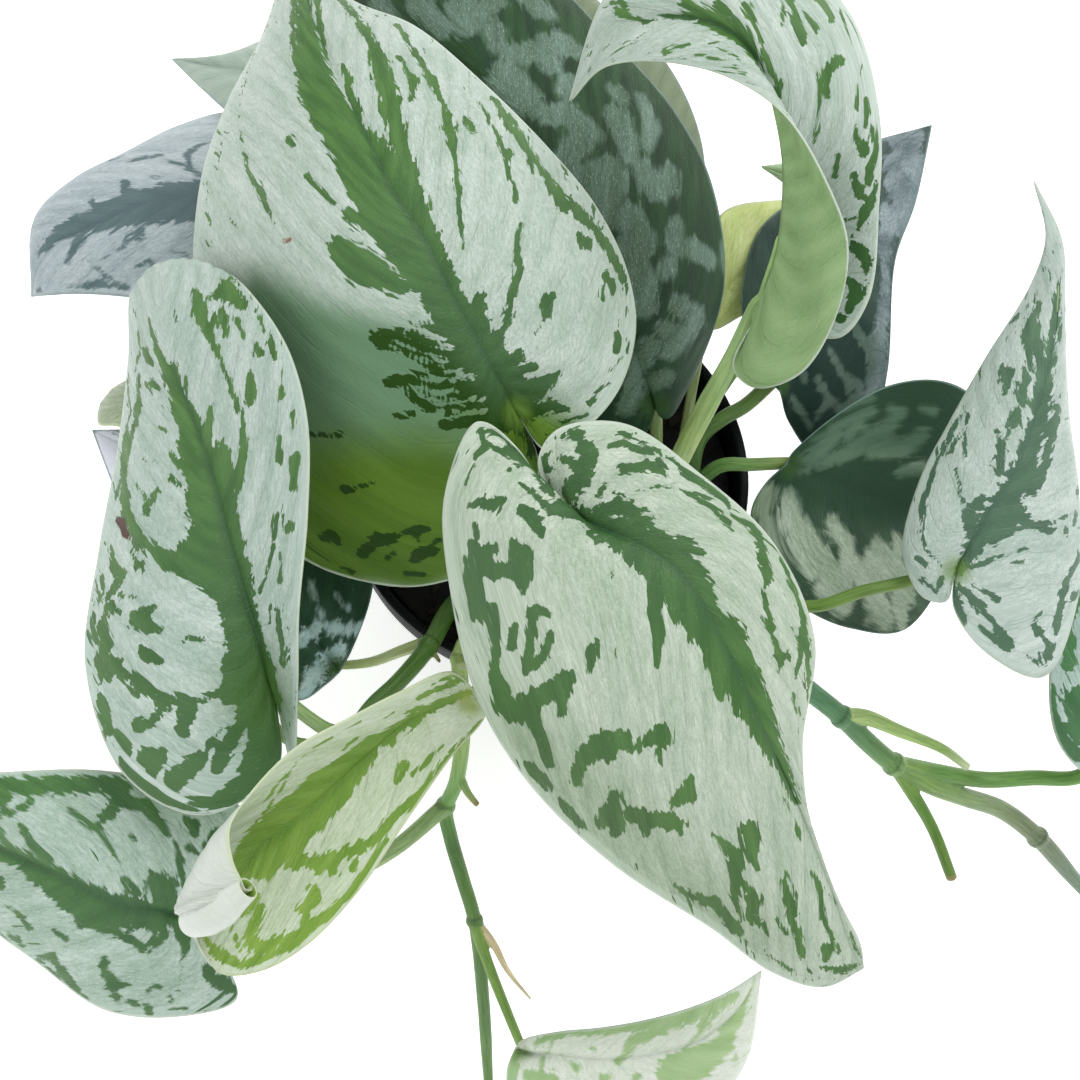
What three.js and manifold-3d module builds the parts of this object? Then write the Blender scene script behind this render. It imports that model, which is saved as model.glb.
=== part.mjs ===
import * as THREE from 'three';
import { mergeVertices } from 'three/addons/utils/BufferGeometryUtils.js';
import Module from 'manifold-3d';

// A satin pothos in a 10.5 cm nursery pot. Millimetres, +Z up. The origin is the middle of the pot's foot,
// +X points to the plant's right and -Y to its front, where the longest vines trail over the rim.

// Driving dimensions
const POT = {
  height: 88,
  rimRadius: 52.5,
  footRadius: 38,
  wall: 1.4,
  bandHeight: 11,
  bandStep: 1.8,
  lipWidth: 2.6,
  sides: 40,
};
const DRAIN = { count: 8, radius: 4, circleRadius: 27, sides: 12 };
const SOIL = { top: 78, hollow: 2.5, lump: 1.1, rings: 5 };
const BLADE = { thickness: 0.9, rowsPerRib: 2, columnsPerHalf: 3 };
const STEM = { sides: 8, thinSides: 6, thinRadius: 2.3, holeSides: 14 };
const GAP = 0.3; // between a blade and its petiole, and between the soil and the pot
const HOLE_SLACK = 1; // between a stem and the soil round it
const ROOT_DEPTH = 64; // height at which the stems start, inside the soil

// Leaf blades. A blade is a run of ribs from its sinus, where the petiole meets it, to its tip. Each rib goes
// from the left edge over the midrib to the right edge, as seen on the upper side looking towards the tip.
// A rib of five points also sets the middle of each half; with three, the halves rise by the leaf's arch.
const LEAVES = [
  {
    name: 'leaf_crown_back',
    finish: 'silver',
    ribs: [
      [[-6, -9, 150]],
      [[-2, -17, 143], [-5, -13, 148], [-8, -6, 151], [-4, -9, 151], [1, -15, 151]],
      [[-7, -30, 124], [-9, -18, 141], [-10, -2, 153], [0, -6, 153], [8, -13, 152]],
      [[-26, -36, 112], [-19, -19, 138], [-13, 2, 156], [3, 1, 157], [16, -3, 152]],
      [[-41, -35, 108], [-29, -14, 139], [-17, 9, 159], [2, 10, 160], [20, 12, 152]],
      [[-61, -27, 108], [-39, -5, 145], [-22, 17, 163], [-2, 21, 164], [18, 25, 155]],
      [[-79, 0, 114], [-49, 10, 151], [-27, 27, 166], [-8, 34, 167], [11, 39, 159]],
      [[-86, 30, 123], [-56, 31, 158], [-34, 37, 169], [-18, 47, 169], [0, 53, 161]],
      [[-84, 59, 135], [-59, 52, 162], [-41, 53, 168], [-28, 61, 168], [-15, 70, 161]],
      [[-77, 75, 144], [-61, 69, 162], [-48, 69, 165], [-40, 77, 164], [-31, 87, 158]],
      [[-69, 93, 146], [-62, 92, 156], [-56, 92, 158], [-51, 95, 157], [-47, 98, 153]],
      [[-64, 123, 142]],
    ],
  },
  {
    name: 'leaf_crown_front',
    finish: 'silver',
    ribs: [
      [[2, -34, 160]],
      [[-2, -25, 165], [1, -30, 162], [4, -35, 161], [-2, -29, 164], [-7, -22, 167]],
      [[2, -19, 168], [5, -28, 166], [7, -37, 162], [-3, -28, 166], [-15, -16, 165]],
      [[16, -18, 169], [15, -30, 169], [12, -40, 164], [-6, -38, 165], [-22, -30, 157]],
      [[32, -29, 168], [26, -38, 170], [19, -44, 167], [-1, -49, 161], [-21, -48, 146]],
      [[48, -42, 160], [39, -47, 166], [28, -51, 167], [6, -61, 159], [-15, -70, 136]],
      [[57, -60, 150], [47, -63, 158], [37, -65, 162], [17, -78, 152], [-3, -88, 128]],
      [[55, -81, 139], [51, -81, 146], [46, -81, 151], [30, -94, 140], [15, -104, 121]],
      [[58, -97, 127], [57, -96, 131], [55, -94, 134], [46, -107, 126], [37, -117, 113]],
      [[65, -111, 116], [64, -110, 118], [63, -109, 119], [56, -119, 114], [51, -126, 106]],
      [[71, -120, 107], [70, -121, 108], [69, -122, 108], [66, -126, 106], [63, -129, 103]],
      [[72, -125, 104]],
    ],
  },
  {
    name: 'leaf_left',
    finish: 'silver',
    ribs: [
      [[-62, -67, 118]],
      [[-66, -82, 113], [-65, -74, 116], [-64, -62, 120], [-61, -69, 120], [-59, -78, 117]],
      [[-79, -91, 109], [-72, -74, 117], [-66, -53, 123], [-60, -60, 128], [-56, -66, 128]],
      [[-99, -81, 105], [-82, -64, 120], [-69, -44, 126], [-61, -48, 133], [-55, -51, 139]],
      [[-110, -55, 106], [-90, -46, 122], [-73, -31, 130], [-62, -32, 138], [-53, -30, 146]],
      [[-108, -27, 110], [-91, -25, 126], [-77, -17, 134], [-64, -14, 144], [-53, -11, 152]],
      [[-104, -4, 116], [-92, -5, 130], [-82, -3, 138], [-69, 1, 149], [-57, 4, 156]],
      [[-101, 17, 124], [-95, 15, 134], [-88, 12, 142], [-75, 15, 150], [-65, 17, 156]],
      [[-101, 34, 126], [-96, 36, 132], [-91, 35, 138], [-82, 32, 145], [-73, 26, 151]],
      [[-97, 38, 112]],
    ],
  },
  {
    name: 'leaf_young',
    finish: 'young',
    ribs: [
      [[-15, -67, 124]],
      [[-14, -70, 121], [-17, -70, 122], [-21, -68, 124], [-21, -65, 126], [-21, -62, 129]],
      [[-22, -79, 116], [-27, -76, 118], [-32, -72, 121], [-32, -70, 126], [-33, -68, 134]],
      [[-32, -93, 113], [-36, -86, 115], [-41, -79, 118], [-43, -77, 126], [-44, -75, 138]],
      [[-42, -108, 112], [-46, -98, 113], [-50, -87, 116], [-52, -83, 124], [-54, -81, 139]],
      [[-53, -120, 112], [-56, -107, 112], [-58, -94, 115], [-62, -90, 122], [-63, -90, 138]],
      [[-63, -126, 112], [-64, -114, 112], [-65, -99, 114], [-74, -99, 120], [-68, -98, 137]],
      [[-72, -127, 113], [-71, -117, 113], [-70, -106, 114], [-79, -107, 121], [-67, -105, 137]],
      [[-76, -123, 115], [-76, -118, 115], [-76, -112, 116], [-81, -113, 122], [-65, -109, 137]],
      [[-77, -119, 120], [-79, -117, 120], [-79, -115, 121], [-76, -114, 131], [-64, -111, 136]],
      [[-69, -117, 131], [-69, -116, 132], [-69, -115, 133], [-67, -113, 134], [-63, -111, 135]],
      [[-63, -110, 134]],
    ],
  },
  {
    name: 'leaf_low_left',
    finish: 'silver',
    ribs: [
      [[-86, -111, 78]],
      [[-78, -122, 76], [-81, -117, 78], [-89, -111, 79], [-80, -105, 83], [-72, -99, 84]],
      [[-76, -130, 70], [-84, -121, 77], [-94, -110, 81], [-82, -101, 87], [-73, -87, 87]],
      [[-92, -134, 66], [-97, -121, 76], [-103, -109, 82], [-94, -95, 89], [-87, -81, 89]],
      [[-110, -132, 64], [-111, -118, 76], [-114, -104, 82], [-110, -91, 89], [-109, -77, 89]],
      [[-127, -121, 64], [-126, -110, 75], [-127, -98, 80], [-129, -88, 87], [-132, -77, 87]],
      [[-144, -109, 62], [-142, -100, 71], [-142, -91, 75], [-145, -84, 80], [-151, -77, 80]],
      [[-168, -79, 66]],
    ],
  },
  {
    name: 'leaf_back_dark',
    finish: 'shaded',
    ribs: [
      [[26, 3, 126]],
      [[19, -3, 122], [23, -2, 124], [25, 6, 127], [28, 1, 126], [30, 4, 124]],
      [[11, -3, 118], [16, 3, 125], [22, 12, 131], [31, 13, 130], [39, 21, 122]],
      [[1, 8, 118], [10, 13, 129], [18, 22, 135], [32, 29, 132], [44, 40, 122]],
      [[-14, 30, 118], [0, 33, 131], [10, 41, 139], [26, 50, 135], [41, 66, 124]],
      [[-31, 58, 118], [-14, 58, 133], [0, 63, 141], [16, 73, 137], [32, 85, 126]],
      [[-45, 89, 121], [-28, 86, 134], [-14, 88, 140], [2, 95, 136], [17, 104, 127]],
      [[-53, 122, 122], [-39, 119, 131], [-27, 117, 136], [-16, 124, 133], [-5, 129, 126]],
      [[-39, 149, 120]],
    ],
  },
  {
    name: 'leaf_curled',
    finish: 'silver',
    ribs: [
      [[47, 15, 150]],
      [[42, 4, 149], [45, 9, 149], [49, 18, 154], [54, 15, 157], [58, 6, 161]],
      [[46, -3, 153], [48, 6, 156], [51, 23, 159], [58, 18, 163], [64, 4, 165]],
      [[55, -4, 164], [55, 9, 165], [52, 28, 165], [62, 25, 170], [69, 10, 171]],
      [[61, 4, 177], [57, 15, 178], [52, 33, 173], [63, 34, 178], [71, 28, 178]],
      [[62, 14, 187], [57, 24, 187], [51, 37, 182], [62, 44, 187], [71, 47, 184]],
      [[57, 22, 197], [53, 30, 195], [49, 42, 189], [58, 55, 194], [65, 69, 189]],
      [[48, 35, 203], [47, 40, 200], [46, 49, 194], [48, 63, 198], [51, 82, 192]],
      [[37, 46, 200], [38, 50, 199], [39, 59, 196], [37, 70, 198], [34, 87, 191]],
      [[23, 55, 192], [24, 58, 192], [27, 66, 192], [22, 74, 192], [19, 85, 187]],
      [[12, 60, 182], [13, 62, 182], [14, 67, 183], [12, 71, 183], [11, 74, 182]],
      [[5, 59, 170]],
    ],
  },
  {
    name: 'leaf_right_upper',
    finish: 'shaded',
    ribs: [
      [[59, 17, 104]],
      [[55, 20, 108], [58, 19, 107], [61, 23, 104], [63, 17, 98], [63, 13, 92]],
      [[50, 31, 110], [56, 29, 109], [65, 32, 106], [69, 23, 97], [68, 9, 84]],
      [[50, 44, 110], [58, 42, 110], [70, 44, 107], [78, 37, 95], [80, 22, 82]],
      [[55, 60, 108], [64, 56, 110], [75, 58, 107], [83, 53, 97], [90, 36, 86]],
      [[67, 73, 104], [73, 71, 107], [81, 73, 106], [88, 68, 100], [93, 59, 93]],
      [[82, 89, 98], [85, 88, 101], [91, 87, 101], [95, 85, 99], [99, 75, 95]],
      [[106, 101, 92]],
    ],
  },
  {
    name: 'leaf_right_lower',
    finish: 'shaded',
    ribs: [
      [[60, -2, 102]],
      [[62, 1, 103], [63, 0, 102], [65, -2, 98], [59, -6, 98], [55, -6, 98]],
      [[73, 11, 102], [73, 6, 99], [71, -3, 93], [60, -13, 94], [52, -12, 93]],
      [[88, 21, 98], [86, 11, 93], [79, -4, 86], [65, -20, 88], [55, -26, 86]],
      [[103, 25, 92], [98, 11, 86], [89, -4, 78], [76, -24, 80], [67, -33, 78]],
      [[114, 23, 84], [109, 8, 78], [100, -5, 70], [88, -24, 71], [80, -36, 70]],
      [[122, 13, 74], [118, 0, 68], [112, -8, 62], [103, -22, 62], [96, -34, 62]],
      [[129, -12, 50]],
    ],
  },
  {
    name: 'leaf_right_tall',
    finish: 'silver',
    ribs: [
      [[95, -37, 122]],
      [[93, -43, 121], [93, -41, 122], [96, -34, 123], [96, -41, 122], [95, -45, 120]],
      [[88, -42, 120], [91, -36, 123], [99, -30, 126], [101, -40, 121], [104, -54, 113]],
      [[84, -31, 120], [90, -29, 125], [103, -23, 129], [109, -36, 122], [118, -58, 108]],
      [[89, -13, 121], [97, -14, 127], [108, -15, 132], [118, -24, 124], [127, -40, 110]],
      [[96, 0, 124], [103, -3, 130], [113, -4, 134], [121, -8, 128], [128, -16, 116]],
      [[105, 15, 128], [109, 11, 133], [117, 8, 136], [121, 5, 132], [125, 1, 124]],
      [[116, 32, 132], [118, 29, 134], [121, 25, 136], [123, 25, 134], [124, 24, 130]],
      [[121, 45, 133], [121, 44, 134], [123, 44, 134], [124, 44, 133], [125, 44, 132]],
      [[121, 63, 128]],
    ],
  },
  {
    name: 'leaf_right_edge',
    finish: 'silver',
    arch: 2.5,
    ribs: [
      [[144, -73, 66]],
      [[140, -74, 66], [145, -69, 67], [151, -75, 64]],
      [[133, -66, 66], [147, -63, 70], [161, -73, 63]],
      [[131, -52, 68], [150, -51, 74], [169, -59, 62]],
      [[135, -34, 70], [154, -35, 77], [174, -39, 63]],
      [[143, -18, 72], [158, -20, 78], [175, -22, 66]],
      [[155, -2, 72], [163, -4, 75], [174, -7, 68]],
      [[172, 13, 68]],
    ],
  },
  {
    name: 'leaf_far_left',
    finish: 'grey',
    arch: 2,
    ribs: [
      [[-74, 73, 108]],
      [[-73, 64, 104], [-78, 73, 109], [-76, 90, 102]],
      [[-80, 47, 100], [-82, 71, 111], [-86, 103, 95]],
      [[-93, 44, 97], [-91, 69, 111], [-100, 99, 95]],
      [[-109, 47, 96], [-105, 68, 108], [-114, 90, 96]],
      [[-123, 49, 94], [-119, 65, 102], [-127, 82, 96]],
      [[-133, 50, 91], [-131, 62, 95], [-138, 73, 91]],
      [[-139, 53, 84]],
    ],
  },
  {
    name: 'leaf_front_low',
    finish: 'silver',
    arch: 2,
    ribs: [
      [[-8, -141, 44]],
      [[-6, -139, 45], [-4, -142, 44], [-10, -147, 43]],
      [[3, -137, 47], [4, -143, 46], [-8, -156, 40]],
      [[14, -136, 49], [15, -144, 47], [6, -163, 38]],
      [[26, -134, 49], [26, -143, 47], [24, -163, 38]],
      [[37, -131, 48], [38, -140, 46], [40, -157, 38]],
      [[47, -127, 44], [48, -133, 43], [52, -144, 38]],
      [[57, -121, 38]],
    ],
  },
  {
    name: 'leaf_under_left',
    finish: 'shaded',
    arch: 2,
    ribs: [
      [[-51, -53, 92]],
      [[-55, -56, 90], [-54, -50, 93], [-48, -46, 91]],
      [[-61, -59, 87], [-58, -44, 94], [-44, -32, 90]],
      [[-71, -56, 86], [-65, -35, 95], [-44, -17, 90]],
      [[-83, -44, 87], [-74, -22, 95], [-56, -2, 90]],
      [[-97, -25, 88], [-86, -10, 93], [-74, 10, 89]],
      [[-110, -6, 86], [-100, 3, 89], [-94, 13, 87]],
      [[-120, 15, 82]],
    ],
  },
  {
    name: 'leaf_far_left_tip',
    finish: 'grey',
    arch: 1.5,
    ribs: [
      [[-57, 101, 110]],
      [[-60, 90, 108], [-61, 101, 110], [-58, 114, 108]],
      [[-72, 89, 105], [-68, 104, 110], [-65, 123, 106]],
      [[-83, 97, 102], [-78, 109, 105], [-76, 121, 103]],
      [[-94, 109, 98], [-91, 115, 99], [-89, 119, 98]],
      [[-104, 122, 92]],
    ],
  },
  {
    name: 'leaf_back_pale',
    finish: 'shaded',
    arch: 2,
    ribs: [
      [[24, 38, 112]],
      [[19, 35, 108], [22, 42, 113], [29, 39, 110]],
      [[11, 44, 106], [20, 51, 115], [39, 61, 106]],
      [[4, 65, 104], [16, 67, 115], [42, 80, 104]],
      [[-2, 90, 102], [12, 89, 112], [39, 99, 103]],
      [[-6, 116, 100], [5, 116, 107], [30, 119, 101]],
      [[-7, 142, 96], [-1, 143, 99], [14, 138, 97]],
      [[-4, 173, 88]],
    ],
  },
  {
    name: 'leaf_inner_young',
    finish: 'young',
    arch: 1,
    ribs: [
      [[40, 36, 104]],
      [[40, 42, 105], [43, 38, 104], [43, 35, 102]],
      [[41, 55, 108], [47, 45, 105], [50, 39, 101]],
      [[46, 65, 109], [54, 52, 106], [56, 43, 100]],
      [[59, 71, 104], [62, 61, 101], [65, 53, 95]],
      [[73, 78, 90]],
    ],
  },
  {
    name: 'leaf_hidden_left',
    finish: 'young',
    arch: 1,
    ribs: [
      [[-90, 8, 101]],
      [[-91, 2, 101], [-93, 9, 102], [-91, 14, 101]],
      [[-99, 3, 98], [-97, 12, 101], [-96, 21, 99]],
      [[-109, 10, 97], [-105, 17, 99], [-102, 25, 96]],
      [[-115, 12, 94], [-113, 17, 95], [-111, 24, 92]],
      [[-120, 25, 88]],
    ],
  },
  {
    name: 'leaf_inner_tip',
    finish: 'young',
    arch: 0.8,
    ribs: [
      [[70, 57, 131]],
      [[68, 53, 131], [67, 58, 131], [69, 64, 128]],
      [[65, 59, 126], [63, 63, 127], [65, 71, 124]],
      [[60, 66, 122], [59, 68, 123], [60, 72, 121]],
      [[55, 73, 118]],
    ],
  },
];

// Stems. Each one is a single piece: a short trunk or a vine, with the petioles, sheaths and roots that grow
// from it. A limb has a route, its radii spread evenly along it, and the leaf whose blade it carries, if any.
const STEMS = [
  {
    name: 'crown_stem_back',
    limbs: [
      {
        route: [[-8, 10, ROOT_DEPTH], [-8, 10, 80], [-9, 9, 98], [-8, 8, 108]],
        radii: [2.6, 2.6, 2.3],
      },
      {
        route: [[-8, 8, 100], [-9, 6, 118], [-12, 0, 138]],
        radii: [2.3, 1.7, 1.7],
        leaf: 'leaf_crown_back',
      },
      {
        route: [[-9, 10, 92], [-22, 22, 103], [-46, 46, 103], [-65, 63, 99]],
        radii: [1.8, 1.3],
        leaf: 'leaf_far_left',
      },
      {
        route: [[-9, 10, 98], [-20, 36, 108], [-42, 73, 103]],
        radii: [1.8, 1.3],
        leaf: 'leaf_far_left_tip',
      },
      { route: [[-8, 11, 88], [3, 22, 94], [15, 33, 99]], radii: [1.8, 1.3], leaf: 'leaf_back_pale' },
    ],
    knots: [{ at: [-8, 9, 100], radius: 3.1 }, { at: [-8.5, 10, 90], radius: 3.1 }],
  },
  {
    name: 'crown_stem_front',
    limbs: [
      {
        route: [[10, -14, ROOT_DEPTH], [10, -14, 80], [11, -14, 96], [12, -15, 106]],
        radii: [2.8, 2.8, 2.4],
      },
      {
        route: [[11, -14, 98], [14, -19, 122], [12, -29, 144]],
        radii: [2.5, 1.8, 1.8],
        leaf: 'leaf_crown_front',
      },
    ],
    knots: [{ at: [11, -14, 98], radius: 3.3 }],
  },
  {
    name: 'crown_stem_upright',
    limbs: [
      { route: [[27, -13, ROOT_DEPTH], [27, -13, 80], [28, -11, 94]], radii: [2.6, 2.6, 2.4] },
      {
        route: [[28, -11, 90], [30, -8, 106], [35, -1, 124], [42, 8, 140]],
        radii: [2.4, 1.9, 1.8],
        leaf: 'leaf_curled',
      },
      { route: [[27, -13, 82], [26, -5, 96], [27, 0, 110]], radii: [2, 1.5], leaf: 'leaf_back_dark' },
      {
        route: [[29, -10, 96], [35, 3, 107], [45, 16, 112], [66, 46, 120]],
        radii: [1.6, 0.8],
        leaf: 'leaf_inner_tip',
      },
      {
        route: [[28, -12, 86], [34, 2, 95], [38, 22, 95]],
        radii: [1.8, 1.1],
        leaf: 'leaf_inner_young',
      },
    ],
    knots: [{ at: [28, -11, 91], radius: 3 }],
  },
  {
    name: 'crown_stem_right',
    limbs: [
      { route: [[36, -6, ROOT_DEPTH], [36, -6, 80], [37, -4, 93]], radii: [2.5, 2.5, 2.2] },
      {
        route: [[37, -5, 88], [42, 8, 97], [50, 13, 100]],
        radii: [1.9, 1.4],
        leaf: 'leaf_right_upper',
      },
      {
        route: [[37, -5, 90], [44, -1, 98], [52, -1, 99]],
        radii: [1.9, 1.3],
        leaf: 'leaf_right_lower',
      },
      {
        route: [[36, -6, 84], [44, -24, 98], [53, -37, 104], [64, -41, 109], [76, -38, 112], [87, -36, 114]],
        radii: [2, 1.6, 1.5],
        leaf: 'leaf_right_tall',
      },
    ],
    knots: [{ at: [36.5, -5.5, 88], radius: 3 }],
  },
  {
    name: 'vine_left',
    limbs: [
      {
        route: [
          [-22, -31, ROOT_DEPTH], [-22, -31, 80], [-25, -38, 91], [-29, -48, 97], [-36, -57, 99],
          [-41, -63, 101], [-48, -68, 105],
        ],
        radii: [2.4, 2.2, 1.9, 1.6],
      },
      {
        route: [[-44, -65, 103], [-51, -69, 106], [-57, -68, 111]],
        radii: [1.7, 1.5],
        leaf: 'leaf_left',
      },
      {
        route: [[-28, -46, 96], [-36, -50, 92], [-44, -52, 87]],
        radii: [1.7, 1.1],
        leaf: 'leaf_under_left',
      },
      {
        route: [[-52, -69, 106], [-60, -56, 105], [-71, -28, 104], [-82, -3, 97]],
        radii: [1.5, 0.9],
        leaf: 'leaf_hidden_left',
      },
      { route: [[-29, -47, 97], [-26, -52, 98]], radii: [1, 0.5] },
    ],
    knots: [{ at: [-29, -47.5, 97], radius: 2.8 }, { at: [-44, -65, 103], radius: 2.4 }],
  },
  {
    name: 'vine_front',
    limbs: [
      {
        route: [
          [-15, -34, ROOT_DEPTH], [-15, -34, 80], [-18, -42, 92], [-21, -50, 97], [-21, -58, 94],
          [-21, -67, 81], [-23, -76, 68], [-26, -82, 60], [-25, -88, 55], [-22, -98, 46],
          [-19, -108, 38], [-17, -128, 21], [-16, -146, 8], [-15, -160, 3], [-12, -176, 2.5],
        ],
        radii: [2.2, 2.1, 2, 1.9, 1.7, 0.6],
      },
      {
        route: [[-21, -52, 96], [-17, -55, 106], [-14, -60, 114]],
        radii: [2.2, 1.6, 1.3],
        leaf: 'leaf_young',
      },
      {
        route: [[-26, -81, 61], [-40, -94, 67], [-61, -106, 73], [-76, -110, 74]],
        radii: [2.3, 1.7, 1.4],
        leaf: 'leaf_low_left',
      },
      {
        route: [[-19, -109, 38], [-15, -120, 34], [-10, -132, 37]],
        radii: [1.6, 1.2],
        leaf: 'leaf_front_low',
      },
      {
        route: [[-19, -108, 38], [-14, -114, 36], [-10, -121, 33], [-4, -128, 31]],
        radii: [1.4, 0.9, 0.4],
      },
      { route: [[-22.5, -74, 70], [-20, -79, 69], [-17.5, -82, 68]], radii: [1.3, 0.8] },
    ],
    knots: [
      { at: [-21, -51, 97], radius: 2.7 },
      { at: [-26, -81, 61], radius: 2.7 },
      { at: [-19, -108, 38], radius: 2.4 },
    ],
  },
  {
    name: 'vine_right',
    limbs: [
      {
        route: [
          [26, -27, ROOT_DEPTH], [26, -27, 80], [34, -34, 93], [43, -41, 98], [53, -47, 92],
          [66, -54, 79], [76, -60, 72], [83, -65, 66], [91, -70, 60], [102, -74, 52], [113, -76, 44],
          [125, -78, 35], [137, -84, 25], [151, -95, 12], [163, -105, 4.5], [176, -114, 3],
        ],
        radii: [2.7, 2.7, 2.6, 2.6, 2.5, 0.8],
      },
      {
        route: [[91, -70, 60], [104, -71, 53], [118, -72, 48], [130, -72, 51], [139, -73, 57]],
        radii: [2.6, 2.2, 1.9],
        leaf: 'leaf_right_edge',
      },
      {
        route: [[76, -60, 72], [82, -60, 71.5], [91, -63, 69], [103, -67, 65], [110, -71, 61]],
        radii: [2.4, 1.8, 1.4, 1.1],
      },
      { route: [[91, -70, 60], [96, -76, 55], [103, -85, 47], [109, -97, 39]], radii: [2, 1.6, 1.5] },
    ],
    knots: [
      { at: [76, -60, 72], radius: 3.2 },
      { at: [91, -70, 60], radius: 3.3 },
      { at: [137, -84, 25], radius: 3.2 },
    ],
  },
];

const COLOURS = {
  pot: { color: 0x15161a, roughness: 0.5 },
  soil: { color: 0x2a2019, roughness: 0.95 },
  silver: { color: 0xa9c2b2, roughness: 0.45 },
  shaded: { color: 0x5f7d6c, roughness: 0.5 },
  grey: { color: 0x9aa8ad, roughness: 0.5 },
  young: { color: 0x9ab560, roughness: 0.4 },
  stem: { color: 0x5b8a42, roughness: 0.45 },
};

const wasm = await Module();
wasm.setup();

function toSolid(geometry) {
  const bare = geometry.index ? geometry.toNonIndexed() : geometry.clone();
  bare.deleteAttribute('normal');
  bare.deleteAttribute('uv');
  const merged = mergeVertices(bare, 1e-4);
  return new wasm.Manifold(
    new wasm.Mesh({
      numProp: 3,
      vertProperties: merged.attributes.position.array,
      triVerts: new Uint32Array(merged.index.array),
    }),
  );
}

function toGeometry(solid) {
  const mesh = solid.getMesh();
  const geometry = new THREE.BufferGeometry();
  geometry.setAttribute('position', new THREE.BufferAttribute(mesh.vertProperties, 3));
  geometry.setIndex(new THREE.BufferAttribute(mesh.triVerts, 1));
  geometry.computeVertexNormals();
  return geometry;
}

function vector(point) {
  return new THREE.Vector3(...point);
}

// The five points of a rib: left edge, left middle, midrib, right middle, right edge
function fullRib(leaf, index) {
  const points = leaf.ribs[index].map(vector);
  if (points.length === 5) return points;
  if (points.length === 1) return Array(5).fill(points[0]);
  const [left, mid, right] = points;
  const midOf = (rib) => vector(rib[(rib.length - 1) / 2]);
  const forward = midOf(leaf.ribs[index + 1]).sub(midOf(leaf.ribs[index - 1]));
  const rise = right.clone().sub(left).cross(forward).setLength(leaf.arch);
  const leftMiddle = left.clone().lerp(mid, 0.5).add(rise);
  const rightMiddle = right.clone().lerp(mid, 0.5).add(rise);
  return [left, leftMiddle, mid, rightMiddle, right];
}

// The blade's middle surface: along runs from 0 at the sinus to 1 at the tip, across from -1 at the left edge
// over 0 at the midrib to 1 at the right edge
function bladeSurface(leaf) {
  const ribs = leaf.ribs.map((rib, index) => fullRib(leaf, index));
  const rails = [0, 1, 2, 3, 4].map(
    (rail) => new THREE.CatmullRomCurve3(ribs.map((rib) => rib[rail]), false, 'centripetal'),
  );
  return (along, across) => {
    const side = across < 0 ? [2, 1, 0] : [2, 3, 4];
    const [inner, middle, edge] = side.map((rail) => rails[rail].getPoint(along));
    const s = Math.abs(across);
    return inner
      .multiplyScalar((1 - s) * (1 - 2 * s))
      .addScaledVector(middle, 4 * s * (1 - s))
      .addScaledVector(edge, s * (2 * s - 1));
  };
}

// A blade as a thin closed solid, with the same triangles on both faces
function bladeGeometry(leaf) {
  const surface = bladeSurface(leaf);
  const rows = (leaf.ribs.length - 1) * BLADE.rowsPerRib;
  const columns = 2 * BLADE.columnsPerHalf;
  const points = [surface(0, 0)];
  const at = (row, column) => {
    if (row === 0) return 0;
    if (row === rows) return 1 + (rows - 1) * (columns + 1);
    return 1 + (row - 1) * (columns + 1) + column;
  };
  for (let row = 1; row < rows; row++) {
    for (let column = 0; column <= columns; column++) {
      points.push(surface(row / rows, (2 * column) / columns - 1));
    }
  }
  points.push(surface(1, 0));

  const triangles = [];
  const addTriangle = (a, b, c) => {
    if (a !== b && b !== c && c !== a) triangles.push([a, b, c]);
  };
  for (let row = 0; row < rows; row++) {
    for (let column = 0; column < columns; column++) {
      const corners = [at(row, column), at(row, column + 1), at(row + 1, column + 1), at(row + 1, column)];
      addTriangle(corners[0], corners[1], corners[2]);
      addTriangle(corners[0], corners[2], corners[3]);
    }
  }

  const edge = [];
  for (let row = 0; row < rows; row++) edge.push(at(row, columns));
  for (let row = rows; row > 0; row--) edge.push(at(row, 0));

  const middle = new THREE.BufferGeometry().setFromPoints(points);
  middle.setIndex(triangles.flat());
  middle.computeVertexNormals();
  const normals = middle.attributes.normal;
  const offset = (sign) =>
    points.map((point, index) => {
      const normal = new THREE.Vector3().fromBufferAttribute(normals, index);
      return point.clone().addScaledVector(normal, (sign * BLADE.thickness) / 2);
    });
  const lower = points.length;
  const faces = triangles.map(([a, b, c]) => [a, b, c]);
  for (const [a, b, c] of triangles) faces.push([lower + a, lower + c, lower + b]);
  edge.forEach((start, index) => {
    const end = edge[(index + 1) % edge.length];
    faces.push([start, lower + start, lower + end], [start, lower + end, end]);
  });

  const geometry = new THREE.BufferGeometry().setFromPoints([...offset(1), ...offset(-1)]);
  geometry.setIndex(faces.flat());
  geometry.computeVertexNormals();
  return geometry;
}

// Where a petiole of this radius ends just under the blade, a little in from the sinus
function petioleSeat(leaf, radius) {
  const surface = bladeSurface(leaf);
  const along = 0.5 / (leaf.ribs.length - 1);
  const point = surface(along, 0);
  const forward = surface(along * 1.2, 0).sub(point);
  const across = surface(along, 0.2).sub(surface(along, -0.2));
  const up = across.cross(forward).normalize();
  return point.addScaledVector(up, -(BLADE.thickness / 2 + GAP + 1.05 * radius));
}

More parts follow.
